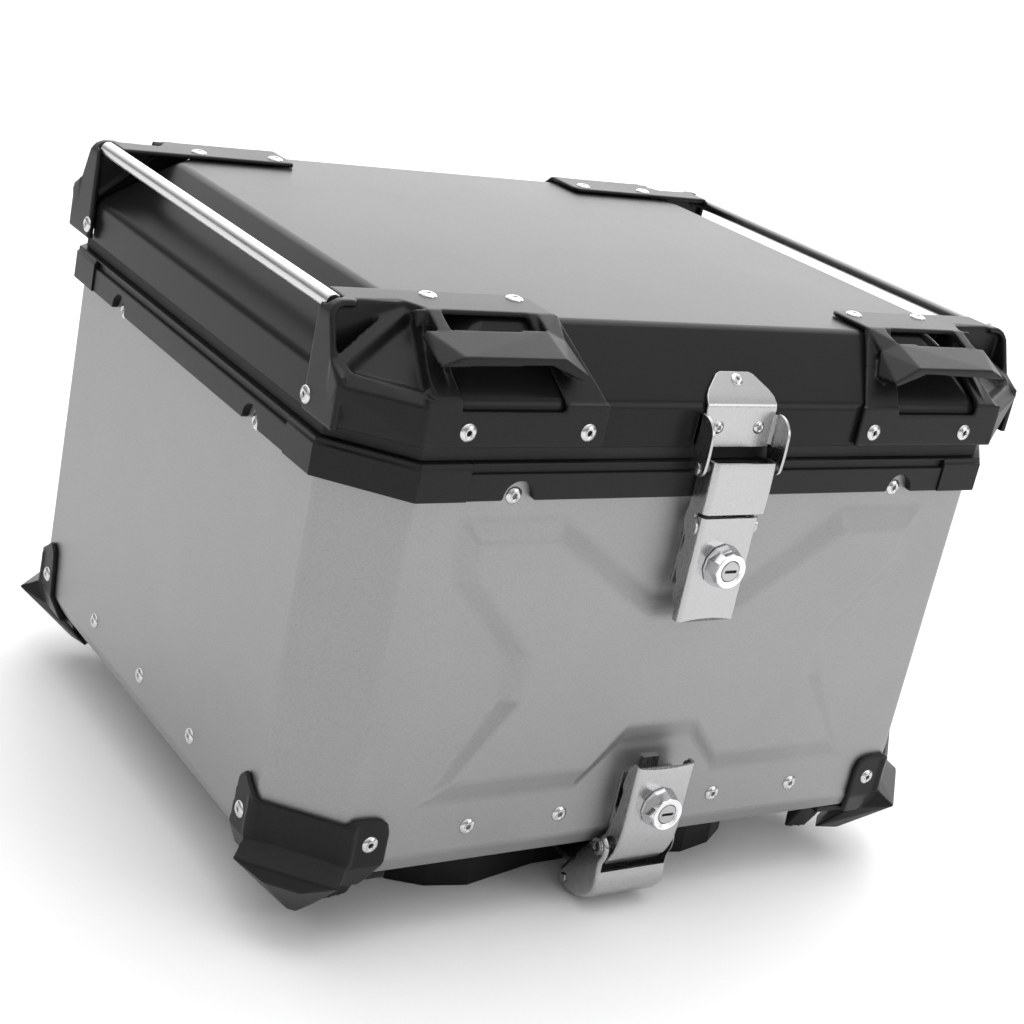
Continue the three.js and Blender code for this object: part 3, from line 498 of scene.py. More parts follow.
def bracket_form(name, voxel, passes):
    """Lid bracket at the front left: skirt, hood over the rail's end, framed triangle, tie-down bar.

    It is drawn from the bracket's outer corner, at the height of the lid's crease.
    """
    corner = (-LID_X - BRACKET_OUT, -LID_Y - BRACKET_OUT, CREASE_Z)
    floor = LID_Z + 1 - CREASE_Z
    roof = LID_TOP - CREASE_Z
    top = roof + 2.8
    inner = 128
    cap_y = BRACKET_OUT + BEVEL_Y - 2.5

    skirt = block(32, inner, 0, 2.8, floor, -3.5)
    left_post = block(32, 49.5, 0, 5, floor, 2)
    right_post = block(inner - 24, inner, 0, 3, floor, 0)
    strip_right = thickened(
        [(inner - 24, 0, -1), (inner, 0, -1), (inner - 34, cap_y + 0.1, top),
        (inner - 18, cap_y + 0.1, top)], (0, 2.6, -2.6))
    cap = prism([(8, cap_y + 29), (inner - 20, cap_y + 29), (inner - 18, cap_y + 25), (inner - 18, cap_y),
                 (43, cap_y), (35, cap_y + 13), (8, cap_y + 11)], "z", roof + 0.3, top)
    hood = prism(
        [(-1, floor), *arc((6.5, top - 7.5), 7.5, 180, 90, 6), (12, top), (12, roof + 0.3),
        *arc((6.5, top - 7.5), 4.7, 90, 180, 6), (2.2, floor)], "y", 20, 49)
    web = prism(
        [(1, top - 7), (6, top - 0.6), (68, top - 0.6), (68, roof - 4), (46, 0), (1, -4)], "y", 41.5, 45.5)
    rib = hull([(x, y, z + dz) for x, z in ((3, 3), (36, top - 3)) for y in (44, 47) for dz in (-1, 1.4)])
    pillar = prism(
        [(0.4, floor), (0.4, 2.5), (12.5, 10), (27, 22.5), (cap_y, top - 0.2), (cap_y + 10, roof - 3),
        (12, floor)], "x", 36, 49)

    lower = [(-0.5, 29, floor), (33.5, -0.3, floor)]
    brow = [(-1.5, 20.5, 0.6), (32, 0.2, -1.8)]
    crown = [(43, 2, 3.6), (43, 12.5, 11.5), (46.5, 29, 24.6), (46.5, 38, top - 1), (35, 44.5, top - 0.2),
             (-1.5, 29.7, 9)]
    heart = [(40, 30, 10), (20, 34, 4), (34, 14, -2), (6, 32, floor), (36, 6, floor), (34, 44, top - 10)]
    framed = hull(lower + brow + crown + heart)
    out = Vector((-0.262, -0.577, 0.774))
    frame_line = [
        (34.5, 39.6, roof - 1.1), (41.8, 37.2, roof - 0.4), (1.7, 27, 7.9), (5.2, 20.4, 4), (31.7, 4.2, 1),
        (36.5, 6.3, 4.2)]
    window_line = [(39.5, 38.7, roof - 6.1), (8.8, 26.8, 4), (35.2, 11.9, 1.8)]
    window = hull(
        [tuple(Vector(p) + out * 3) for p in frame_line] + [tuple(Vector(p) + out * 0.8)
        for p in window_line])

    reach, back, level = 98, 19.5, 21
    bar = hull(
        [(36, back, level + 5.6), (reach, back, level + 7), (reach, 0, level + 0.2), (46, 0, level),
        (34, 1, level - 5), (34, back, level + 2), (reach, back, level + 3.4), (47, 0.6, level - 3.6),
        (reach - 6, 0.6, level - 3.4)])
    bar_end = hull(
        [(reach, back, level + 7), (reach, 0, level + 0.2), (reach - 6, 0.6, level - 3.4),
        (reach - 4, back, level + 3), (reach + 14.5, 0, level - 7.6), (reach + 12, 0.6, level - 10),
        (reach + 11, back, level + 3), (reach + 17, 11, level - 8), (reach + 13, 13, level - 11)])
    bridge_left = thickened(
        [(42, cap_y, top), (48.5, cap_y, top), (42, back, level + 6), (48.5, back, level + 6)], (0, 1, -3.2))
    bridge_right = thickened(
        [(reach + 1, cap_y, top), (reach + 12, cap_y, top), (reach, back, level + 7),
        (reach + 11, back, level + 3.5)], (0, 1, -3.2))
    slant = hull(
        [(x, y, z) for x in (-5, 13) for y, z in ((15, top + 4), (41, top + 4), (29.5, 9), (15, 1))])

    parts = [skirt, left_post, right_post, strip_right, cap, web, rib, pillar, framed,
             bar, bar_end, bridge_left, bridge_right]
    obj = raw_object(name, hood.moved(*corner))
    carve(obj, [slant.moved(*corner)], "DIFFERENCE")
    carve(obj, [part.moved(*corner) for part in parts], "UNION")
    rail_hole = revolve([(4.3, corner[1] + 44), (4.3, corner[1] + 60)], "y", (-RAIL_X, 0, RAIL_Z))
    carve(obj, [lid_hull(0.4, LID_Z - 2), window.moved(*corner), rail_hole], "DIFFERENCE")
    return softened(obj, voxel, passes)


def softened(obj, voxel, passes):
    """Rounds every edge of a moulded form a little."""
    soften = obj.modifiers.new("soften", "REMESH")
    soften.mode = "VOXEL"
    soften.voxel_size = voxel * MM
    relax = obj.modifiers.new("relax", "SMOOTH")
    relax.factor = 0.5
    relax.iterations = passes
    bake(obj)
    obj.data.polygons.foreach_set("use_smooth", [True] * len(obj.data.polygons))
    return obj


def foot_form(name, voxel, passes):
    """Foot at the front left: two flaps on the walls, a framed chamfer, and a nose that stands out."""
    wx, wy = -WALL_X, -WALL_Y
    leg = cut_at(WALL_X - RIM_X)
    half = leg / 2
    edge = BODY_Z - 5
    base = BODY_Z - 3
    shelf = BEND_Z + 3
    flap_top = BEND_Z + 30

    def both(u, v, z):
        """A corner given along and off the front wall, and its twin on the side wall."""
        return [(wx + u, wy + v, z), (wx + v, wy + u, z)]

    def twins(points):
        return [hull([both(*p)[side] for p in points]) for side in (0, 1)]

    front = [
        (-20, edge), (44, edge), (47, BODY_Z), (53, BEND_Z + 1), (53, flap_top - 13), (51.6, flap_top - 8.5),
        (48, flap_top - 6), (43, flap_top - 5), (-20, flap_top - 4)]
    side = [(-20, edge), (54, edge), (52, BODY_Z), (50, BEND_Z + 1), (48, flap_top - 9), (47, flap_top - 3),
            (43, flap_top + 0.6), (38, flap_top), (-20, flap_top)]
    obj = raw_object(name, body_hull(3, base))
    region = raw_object("flaps", prism([(wx + u, z) for u, z in front], "y", wy - 20, wy + 25))
    carve(region, [prism([(wy + v, z) for v, z in side], "x", wx - 20, wx + 25)], "UNION")
    combine(obj, region, "INTERSECT")

    valley = hull(
        both(leg - 12, -8, flap_top + 1) + both(leg - 3, -8, flap_top - 8) + both(leg + 10, -8, flap_top + 1)
        + [(wx + 30, wy + 30, flap_top + 1), (wx + 30, wy + 30, flap_top - 8)])
    nose = hull(
        both(leg + 1, -3, shelf) + both(leg - 7, -12, BEND_Z - 4) + both(half - 4, -1, BODY_Z)
        + both(half, 5, edge) + both(half + 10, half + 7, 8) + both(half + 22, half + 12, 7)
        + both(half + 10, half + 7, base) + both(leg + 6, EDGE_IN, base)
        + [(wx + half, wy + half, shelf + 2)])
    pads = twins([(58, 32, 7), (44, 30, 7), (59, 18, base), (40, 18, base), (59, 34, base), (40, 34, base)])
    flanges = twins([(u, v, z) for u in (20, 62) for v in (8, 34) for z in (BODY_Z - 4.5, BODY_Z + 0.5)])
    posts = twins(
        [(leg + 1, -4.5, shelf - 1), (leg + 4, -3, shelf - 1), (leg - 4, -1, shelf - 1),
        (leg + 1, -4.0, flap_top - 9), (leg + 4, -3, flap_top - 7), (leg - 4, -1, flap_top - 9)])
    lintel = hull(
        both(leg + 1, -4.4, flap_top - 9) + both(leg + 1, -4.4, flap_top - 12.5)
        + both(leg, 1, flap_top - 8.5) + both(leg, 1, flap_top - 15.5))
    carve(obj, [valley], "DIFFERENCE")
    carve(obj, [nose, *pads, *flanges, *posts, lintel], "UNION")
    carve(obj, [body_hull(0.3, BODY_Z - 0.3)], "DIFFERENCE")
    return softened(obj, voxel, passes)


# ---- settings in the sidebar ----

def length(name, description, default):
    return bpy.props.FloatProperty(
        name=name, description=description, default=default, min=0.0, unit="LENGTH")


def colour(name, description, value):
    return bpy.props.FloatVectorProperty(
        name=name, description=description, default=value, size=3, min=0.0, max=1.0, subtype="COLOR")


class TopCaseSizes(bpy.types.PropertyGroup):
    """Sizes of the visual pieces that the frame doesn't set."""
    sheet: length("Sheet", "Thickness of the body and lid sheet", 0.0015)
    relief: length("Relief height", "How far the pressed field stands out of the wall", 0.0036)
    slope: length("Relief slope", "Width of the pressed field's sloped edge", 0.0115)
    fold: length("Fold", "Size of the rounded folds in the body", 0.0022)
    rivet: length("Rivet", "Diameter of a rivet head", 0.0086)
    voxel: length("Moulding detail", "Grain at which moulded pieces are shaped", 0.0008)


class TopCaseColours(bpy.types.PropertyGroup):
    """Colours of the finishes."""
    silver: colour("Body", "Sandblasted aluminium", (0.30, 0.30, 0.302))
    sheet: colour("Lid", "Satin black powder coat", (0.009, 0.009, 0.0092))
    plastic: colour("Plastic", "Moulded black plastic", (0.008, 0.008, 0.0082))
    rubber: colour("Seal", "Rubber", (0.012, 0.012, 0.012))
    rail: colour("Rails", "Brushed rail", (0.55, 0.55, 0.555))
    steel: colour("Steel", "Brushed stainless steel", (0.42, 0.42, 0.424))
    rivet: colour("Rivets", "Bright rivet heads", (0.58, 0.58, 0.58))
    chrome: colour("Chrome", "Lock collars", (0.82, 0.82, 0.83))


def dress(names, look, edge=0.3):
    """Keeps CAD nodes as they are, with a finish and lightly rounded edges."""
    for name in names:
        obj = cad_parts[name]
        obj.data.materials.clear()
        obj.data.materials.append(look)
        bend_edges(obj, "edges", edge, 2, 40)
        obj.modifiers.new("even", "WEIGHTED_NORMAL").keep_sharp = True


# ---- body and lid ----

class TOPCASE_OT_body(bpy.types.Operator):
    """Body sheet: chamfered corners, a bottom edge that leans in, a pressed field front and rear"""
    bl_idname = "topcase.body"
    bl_label = "Body"

    def execute(self, context):
        sizes = context.scene.top_case_sizes
        look = looks(context)
        cut = cut_at(WALL_X - RIM_X)
        rings = []
        for inset, z in ((EDGE_IN, BODY_Z), (0, BEND_Z), (0, BODY_TOP)):
            rings.append([(x, y, z) for x, y in octagon(WALL_X - inset, WALL_Y - inset, cut)])
        skin = loft(rings, capped=False)
        # The front and rear walls between the bend and the top are left out, for the pressed panels.
        front, rear = 8 + 6, 8 + 2
        skin.faces = [f for i, f in enumerate(skin.faces) if i not in (front, rear)]
        skin.faces.append(tuple(range(8))[::-1])
        inset = sizes.slope / MM
        panel = pressed_panel(
            WALL_X - cut, BEND_Z, BODY_TOP, -WALL_Y, relief_outline(0), relief_outline(inset),
            sizes.relief / MM)
        folded("body_skin", skin + panel + panel.mirrored(y=-1), "case", "silver_sheet", look,
               ["body_shell"], thick=sizes.sheet / MM, fold=sizes.fold / MM)
        return {"FINISHED"}


class TOPCASE_OT_lid(bpy.types.Operator):
    """Lid sheet: upright skirt, sloped sides and a flat top"""
    bl_idname = "topcase.lid"
    bl_label = "Lid"

    def execute(self, context):
        sizes = context.scene.top_case_sizes
        look = looks(context)
        cut = cut_at(-2) + LID_CORNER
        rings = []
        for x, y, c, z in ((LID_X, LID_Y, cut, LID_Z), (LID_X, LID_Y, cut, CREASE_Z),
                           (LID_X - BEVEL_X, LID_Y - BEVEL_Y, cut * 0.8, LID_TOP)):
            rings.append([(a, b, z) for a, b in octagon(x, y, c)])
        skin = loft(rings, capped=False)
        skin.faces.append(tuple(range(16, 24)))
        folded("lid_skin", skin, "lid", "black_sheet", look, ["lid_shell"], thick=sizes.sheet / MM)
        return {"FINISHED"}


class TOPCASE_OT_rails(bpy.types.Operator):
    """Brushed rails along both sides of the lid"""
    bl_idname = "topcase.rails"
    bl_label = "Rails"

    def execute(self, context):
        look = looks(context)
        for side, sign in (("left", -1), ("right", 1)):
            cad = f"rail_{side}"
            diameter = (high(cad, 0) - low(cad, 0))
            shape = rod("y", low(cad, 1), high(cad, 1), (sign * RAIL_X, 0, RAIL_Z), diameter, 0.5, 40)
            piece(f"{cad}_bar", shape, "lid", "rail_metal", look, [cad], edge=0)
        return {"FINISHED"}


# ---- rim ----

BAND_X = high("rim_band_front", 0)
BAND_Y = high("rim_band_right", 1)
BAND_PROFILE = [
    (0, 0.4), (0, 12.4), (-0.3, 12.8), (-1.9, 13.2), (-1.9, 16.8), (0, 17.2), (0, 17.8), (-0.3, 18),
    (-8, 18), (-8, 16.3), (-3.6, 16.3), (-3.6, 0), (-0.4, 0)]
CORNER_PROFILE = [
    (1, 0.4), (1, 14.9), (0.1, 15.7), (0.1, 17.6), (-0.3, 18), (-8, 18), (-8, 16.3), (-3.6, 16.3), (-3.6, 0),
    (0.6, 0)]


class TOPCASE_OT_rim(bpy.types.Operator):
    """Plastic rim: four grooved bands with rivet notches, four corner pieces, and the seal"""
    bl_idname = "topcase.rim"
    bl_label = "Rim"

    def notch(self, along, axis, face):
        mouth = arc((along, RIM_Z + 1.2), 8.2, 0, 180, 14)
        outline = [(along + 9.4, RIM_Z - 2), (along + 9.2, RIM_Z)] + mouth + [
            (along - 9.2, RIM_Z), (along - 9.4, RIM_Z - 2)]
        if axis == "y":
            return prism(outline, "y", face - 3, face + 5)
        return prism(outline, "x", face - 3, face + 5)

    def execute(self, context):
        look = looks(context)
        front = prism([(-RIM_Y - off, RIM_Z + z) for off, z in BAND_PROFILE], "x", -BAND_X, BAND_X)
        side = prism([(-RIM_X - off, RIM_Z + z) for off, z in BAND_PROFILE], "y", -BAND_Y, BAND_Y)
        for name, shape, axis, spots, face, flip in (
                ("front", front, "y", (-117.4, 117.4), -RIM_Y, None), ("rear", front, "y", (-117.4, 117.4),
                -RIM_Y, "y"), ("left", side, "x", (-82, 82), -RIM_X, None),
                ("right", side, "x", (-82, 82), -RIM_X, "x")):
            obj = raw_object(f"rim_strip_{name}", shape)
            carve(obj, [self.notch(spot, axis, face) for spot in spots], "DIFFERENCE")
            if flip:
                obj.data.transform(
                    Matrix.Diagonal((-1 if flip == "x" else 1, -1 if flip == "y" else 1, 1, 1)))
                obj.data.flip_normals()
            soften_edges(obj, 0.35, 30)
            settle(obj, "case", "black_plastic", look, [f"rim_band_{name}"])
        rings = []
        for section in range(4):
            ring = []
            for off, z in CORNER_PROFILE:
                x, y, cut = -RIM_X - off, -RIM_Y - off, cut_at(off)
                spot = [(-BAND_X - 0.3, y), (x + cut, y), (x, y + cut), (x, -BAND_Y - 0.3)][section]
                ring.append((*spot, RIM_Z + z))
            rings.append(ring)
        corner = loft(rings)
        for place, (x, y) in CORNERS.items():
            piece(f"rim_angle_{place}", corner.mirrored(x, y), "case", "black_plastic", look,
                  [f"rim_corner_{place}"], edge=0.6)
        dress(["rim_seal"], look["seal_rubber"], 0.4)
        return {"FINISHED"}


# ---- moulded corner pieces ----

def four_corners(first, stem, body, look, replaced):
    """Ties the front left form and its mirror images to the frame."""
    for place, (x, y) in CORNERS.items():
        obj = first if (x, y) == (1, 1) else mirrored_copy(first, f"{stem}_{place}", x, y)
        settle(obj, body, "black_plastic", look, [f"{replaced}_{place}"])


class TOPCASE_OT_brackets(bpy.types.Operator):
    """Lid brackets: one moulded form and its mirror images"""
    bl_idname = "topcase.brackets"
    bl_label = "Lid brackets"

    def execute(self, context):
        sizes = context.scene.top_case_sizes
        look = looks(context)
        first = bracket_form("lid_corner_front_left", sizes.voxel / MM, 2)
        four_corners(first, "lid_corner", "lid", look, "lid_bracket")
        return {"FINISHED"}


class TOPCASE_OT_feet(bpy.types.Operator):
    """Feet: one moulded form and its mirror images"""
    bl_idname = "topcase.feet"
    bl_label = "Feet"

    def execute(self, context):
        sizes = context.scene.top_case_sizes
        look = looks(context)
        first = foot_form("foot_form_front_left", sizes.voxel / MM, 3)
        four_corners(first, "foot_form", "case", look, "foot")
        return {"FINISHED"}


# ---- rivets ----

def rivet_mesh(diameter, look):
    scale = diameter / 8.6
    profile = [
        (0.02, -0.2), (1.3, -0.25), (1.35, 1.15), (1.5, 1.35), (2.0, 1.4), (2.1, 1.2), (2.35, 1.2),
        (2.5, 1.32), (3.2, 1.05), (3.95, 0.6), (4.3, 0.2), (4.3, -0.3), (0.02, -0.3)]
    obj = raw_object("rivet", revolve([(r * scale, z * scale) for r, z in profile], "z", (0, 0, 0), 32))
    mesh = obj.data
    mesh.polygons.foreach_set("use_smooth", [True] * len(mesh.polygons))
    mesh.set_sharp_from_angle(angle=math.radians(50))
    mesh.materials.append(look)
    bpy.data.objects.remove(obj)
    return mesh


def set_rivet(name, mesh, spot, facing, body, spin=0.0):
    """Sets a rivet head on a spot, given in millimetres, facing a direction."""
    obj = placed(name, mesh)
    turn = Vector(facing).to_track_quat("Z", "Y").to_matrix().to_4x4()
    obj.matrix_world = Matrix.Translation(Vector(spot) * MM) @ turn @ Matrix.Rotation(spin, 4, "Z")
    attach(obj, body)


class TOPCASE_OT_rivets(bpy.types.Operator):
    """Blind rivets with a dark centre hole, on the body, rim, feet, brackets and hinges"""
    bl_idname = "topcase.rivets"
    bl_label = "Rivets"

    def execute(self, context):
        sizes = context.scene.top_case_sizes
        look = looks(context)
        mesh = rivet_mesh(sizes.rivet / MM, look["rivet_metal"])
        count = 0
        front, side, up = (0, -1, 0), (-1, 0, 0), (0, 0, 1)
        skirt_y, skirt_x, cap = LID_Y + 3, LID_X + 3.8, LID_TOP + 2.8
        rows = [
            ("lid", front, [(x, -skirt_y, LID_Z + 8.3) for x in (-151.6, -87.8, 87.8, 151.6)]),
            ("lid", side, [(-skirt_x - 0.2, y, LID_Z + 8.3) for y in (-133, 133)]),
            ("lid", up, [(x, -127, cap) for x in (-151.6, -105.6, 105.6, 151.6)]),
            ("case", front, [(x, -WALL_Y, RIM_Z + 1) for x in (-117.4, 117.4)]),
            ("case", side, [(-WALL_X, y, RIM_Z + 1) for y in (-82, 82)]),
            ("case", front, [(x, -WALL_Y, BODY_Z + 24) for x in (-103, -49, 49, 103)]),
            ("case", side, [(-WALL_X, y, BODY_Z + 24) for y in (-66, 0, 66)]),
            ("case", front, [(x, -WALL_Y - 3, BODY_Z + 23) for x in (-158, 158)]),
            ("case", side, [(-WALL_X - 3, y, BODY_Z + 22) for y in (-133, 133)])]
        for body, way, spots in rows:
            for x, y, z in spots:
                flips = {"y": (x, -y, z), "x": (-x, y, z)}["x" if way == side else "y"]
                for spot, facing in (
                        ((x, y, z), way), (flips, way if way == up else tuple(-w for w in way))):
                    count += 1
                    set_rivet(f"rivet_{count:02d}", mesh, spot, facing, body, count * 1.9)
        return {"FINISHED"}


# ---- top latch ----

KEEPER_PIN = middle("keeper_pin_left")
TOP_PIVOT = middle("top_lever_pin")
BASE_PIVOT = middle("bottom_lever_pin")
HOOK_PIN = middle("bottom_hook_pin")
LEVER_Y = low("top_lever", 1)
LATCH_ROUNDING = 0.4


def latch_sheet(name, box, outline, half, body, look, replaced):
    """Folded latch piece: its channel and its two cheeks, joined."""
    obj = raw_object(name, box)
    carve(obj, cheeks(outline, half), "UNION")
    soften_edges(obj, LATCH_ROUNDING, 45, 3)
    settle(obj, body, "stainless", look, [replaced])


class TOPCASE_OT_keeper(bpy.types.Operator):
    """Keeper plate on the lid, with an ear on each side of the sleeve"""
    bl_idname = "topcase.keeper"
    bl_label = "Latch keeper"

    def execute(self, context):
        look = looks(context)
        y0 = -LID_Y - 0.4
        apron = []
        for half, y, z in (
                (21.3, y0, LID_Z + 0.5), (21.3, y0, CREASE_Z - 1), (21.3, y0 + 0.6, CREASE_Z + 0.6),
                (20.6, y0 + 3, CREASE_Z + 3.2), (18.6, y0 + 5.4, CREASE_Z + 5.6),
                (11.5, y0 + 11.2, CREASE_Z + 11.2), (8.6, y0 + 12.2, CREASE_Z + 12.1)):
            apron.append([(x, y, z) for x in (-half, 0, half)])
        plate = raw_object("keeper_plate", loft(apron, closed=False, capped=False))
        if plate.data.polygons[0].normal.y > 0:
            plate.data.flip_normals()
        thicken(plate, 1.5, 1, False)
        front = -RIM_Y - 11.2
        ear = rounded(
            [(y0 + 0.5, CREASE_Z - 2.6), (y0 - 8, CREASE_Z - 4.2), (front + 0.5, CREASE_Z - 9.5),
            (front, LID_Z - 2), (KEEPER_PIN[0] - 5.4, LID_Z - 11.2), (KEEPER_PIN[0] + 4.6, LID_Z - 11.2),
            (y0 - 0.5, LID_Z - 1.0), (y0 + 0.5, LID_Z + 1)], 4.5, 6)
        outer = high("latch_keeper", 0)
        left, right = cheeks(ear, outer)
        form = left + right
        for sign in (-1, 1):
            form = form + hull(
                [(sign * a, y, z) for a, y in ((outer, y0), (outer, y0 - 2.4), (outer - 1.2, y0 - 1.2),
                (outer - 4, y0 - 1.4), (outer - 4, y0)) for z in (LID_Z + 2, CREASE_Z - 4)])
        wings = raw_object("keeper_wings", form)
        carve(wings, [rod("x", -30, 30, (0, *KEEPER_PIN), 4.6, 0.1)], "DIFFERENCE")
        for obj, name in ((plate, "latch_keeper_plate"), (wings, "latch_keeper_ears")):
            obj.name = name
            soften_edges(obj, 0.35, 40)
            settle(obj, "lid", "stainless", look, ["latch_keeper"] if obj is plate else ())
        mesh = rivet_mesh(6.6, look["rivet_metal"])
        for name, spot, facing in (
                ("left", (-12.5, y0 - 1.5, LID_Z + 10.5), (0, -1, 0)), ("right",
                (12.5, y0 - 1.5, LID_Z + 10.5), (0, -1, 0)), ("top", (0, y0 + 7.8, CREASE_Z + 10.2),
                (0, -1, 1))):
            set_rivet(f"keeper_rivet_{name}", mesh, spot, facing, "lid")
        for side, sign in (("left", -1), ("right", 1)):
            cad = f"keeper_pin_{side}"
            a, b = low(cad, 0), high(cad, 0)
            shape = rod("x", a, b, (0, *KEEPER_PIN), 4.0, 0.5)
            head = outer + 0.05
            cap = revolve(
                [(0.1, sign * (head - 0.1)), (3.1, sign * (head - 0.1)), (3.1, sign * (head + 0.5)),
                (2.2, sign * (head + 1.0)), (0.1, sign * (head + 1.1))], "x", (0, *KEEPER_PIN), 28)
            piece(f"{cad}_stud", shape + cap, "lid", "steel_pin", look, [cad], edge=0.15)
        return {"FINISHED"}


class TOPCASE_OT_sleeve(bpy.types.Operator):
    """Sleeve of the top latch: an open box that hangs from the keeper's ears"""
    bl_idname = "topcase.sleeve"
    bl_label = "Latch sleeve"

    def execute(self, context):
        look = looks(context)
        face = low("latch_sleeve", 1)
        bottom = RIM_Z - 4.3
        top = high("latch_sleeve", 2)
        half = high("latch_sleeve", 0)
        box = channel(
            [(bottom, face + 0.2, 0), (bottom + 8, face, 0), (top - 4, face + 0.4, 0), (top, face + 0.9, 0)],
            half, 6.5, 3.2)
        py, pz = TOP_PIVOT
        outline = rounded(
            [(face + 5, bottom), (face + 8, bottom - 2.5), (py - 5.5, pz + 1), (py - 5, pz - 4.6),
            (py + 2.5, pz - 5), (py + 4.6, pz + 1), (-RIM_Y - 1.2, RIM_Z - 1.5),
            (-RIM_Y - 1.2, KEEPER_PIN[1] - 4), (KEEPER_PIN[0] + 4, KEEPER_PIN[1] + 1),
            (KEEPER_PIN[0] + 3, top - 0.3), (face + 5, top)], 2.2, 5)
        latch_sheet("latch_sleeve_box", box, outline, half, "sleeve", look, "latch_sleeve")
        return {"FINISHED"}


def lock(prefix, look):
    """Facetted chrome collar, flat face ring, and the plug with its key slot."""
    housing = f"{prefix}_lock_housing"
    face, back = low(housing, 1), high(housing, 1)
    z = middle(housing)[1]
    seat = LEVER_Y - 0.25
    collar = revolve(
        [(11.0, seat), (10.9, seat - 1.4), (8.9, face + 0.6), (8.6, face + 0.2), (6.4, face + 0.2),
        (6.4, seat)], "y", (0, 0, z), 11, hollow=True)
    ring = revolve(
        [(8.5, face + 0.5), (8.7, face), (8.3, face - 0.1), (7.2, face + 0.1), (7.0, face + 0.5),
        (5.5, face + 0.5), (5.5, face + 0.9), (8.5, face + 0.9)], "y", (0, 0, z), 44, hollow=True)
    barrel = revolve([(5.5, seat), (7.0, seat), (7.0, back), (5.5, back)], "y", (0, 0, z), 40, hollow=True)
    obj = raw_object(f"{prefix}_lock_collar", collar + ring + barrel)
    soften_edges(obj, 0.2, 20)
    settle(obj, f"{prefix}_lever", "lock_chrome", look, [housing])
    plug = raw_object(f"{prefix}_lock_core", revolve(
        [(0.05, face + 0.3), (4.7, face + 0.3), (5.15, face + 0.55), (5.15, back + 0.3), (0.05, back + 0.3)],
        "y", (0, 0, z), 40))
    slot = prism(rounded([(-3.6, z - 0.75), (3.6, z - 0.75), (3.6, z + 0.75), (-3.6, z + 0.75)], 0.5, 3),
                 "y", face - 1, face + 4)
    carve(plug, [slot], "DIFFERENCE")
    soften_edges(plug, 0.12, 40)
    settle(plug, f"{prefix}_key", "lock_face", look, [f"{prefix}_lock_plug"])
    dress([f"{prefix}_lock_cam"], look["stainless"], 0.3)


class TOPCASE_OT_top_lever(bpy.types.Operator):
    """Lever of the top latch with its lock, and the base that it turns on"""
    bl_idname = "topcase.top_lever"
    bl_label = "Top lever and lock"

    def execute(self, context):
        look = looks(context)
        top, bottom = high("top_lever", 2), low("top_lever", 2)
        half = high("top_lever", 0)
        box = channel(
            [(bottom, LEVER_Y, 1.8), (bottom + 3, LEVER_Y, 1.0), (bottom + 9, LEVER_Y, 0),
            (top, LEVER_Y + 0.2, 0)], half, 5, 2.6)
        py, pz = TOP_PIVOT
        outline = rounded(
            [(LEVER_Y + 3, bottom + 2), (LEVER_Y + 9.5, bottom + 11), (LEVER_Y + 7.6, bottom + 17),
            (LEVER_Y + 10.8, bottom + 23), (LEVER_Y + 11.4, bottom + 31), (py + 2.5, pz - 9),
            (py + 4.7, pz - 2), (py + 3.5, pz + 4), (py - 1, pz + 5), (LEVER_Y + 3, top)], 2.4, 5)
        latch_sheet("top_lever_sheet", box, outline, half, "top_lever", look, "top_lever")
        lock("top", look)
        dress(["top_latch_base"], look["stainless"], 0.3)
        span = high("top_lever_pin", 0)
        pin = rod("x", -span, span, (0, py, pz), 5, 0.5)
        piece("top_lever_axle", pin, "case", "steel_pin", look, ["top_lever_pin"], edge=0)
        return {"FINISHED"}


# ---- base latch ----

class TOPCASE_OT_bottom_lever(bpy.types.Operator):
    """Lever of the base latch with its lock, curved in at the foot"""
    bl_idname = "topcase.bottom_lever"
    bl_label = "Base lever and lock"

    def execute(self, context):
        look = looks(context)
        top, bottom = high("bottom_lever", 2), low("bottom_lever", 2)
        half = high("bottom_lever", 0)
        py, pz = BASE_PIVOT
        rows = [
            (bottom + 0.2, py - 2.6, 0), (bottom + 2.6, py - 4.2, 0), (pz - 5, LEVER_Y + 5.2, 0),
            (pz, LEVER_Y + 2.6, 0), (pz + 5, LEVER_Y + 1.0, 0), (pz + 13, LEVER_Y, 0), (top - 6, LEVER_Y, 0),
            (top - 2.4, LEVER_Y, -0.7), (top, LEVER_Y + 0.1, -1.6)]
        box = channel(rows, half, 5, 2.6)
        outline = rounded(
            [(LEVER_Y + 3, top), (py - 4, top - 2.5), (py - 2.2, top - 14), (py - 3.6, top - 17),
            (py - 2, pz + 15), (py + 1.5, pz + 6), (py + 4.8, pz + 2), (py + 3.5, pz - 4), (py - 1, pz - 8),
            (py - 2, bottom + 1), (LEVER_Y + 7.6, pz - 5), (LEVER_Y + 5.4, pz), (LEVER_Y + 3.4, pz + 7)],
            1.8, 5)
        latch_sheet("bottom_lever_sheet", box, outline, half, "bottom_lever", look, "bottom_lever")
        lock("bottom", look)
        dress(["bottom_latch_base"], look["stainless"], 0.3)
        span = high("bottom_lever_pin", 0)
        shape = rod("x", -span, span, (0, py, pz), 5, 0.5)
        for sign in (-1, 1):
            washers = [(2.4, span - 0.9), (4.4, span - 0.9), (4.4, span - 0.1), (3.6, span),
                       (3.6, span + 0.6), (2.4, span + 0.7)]
            shape = shape + revolve([(r, sign * x) for r, x in washers], "x", (0, py, pz), 28, hollow=True)
        piece("bottom_lever_axle", shape, "case", "steel_pin", look, ["bottom_lever_pin"], edge=0)
        return {"FINISHED"}


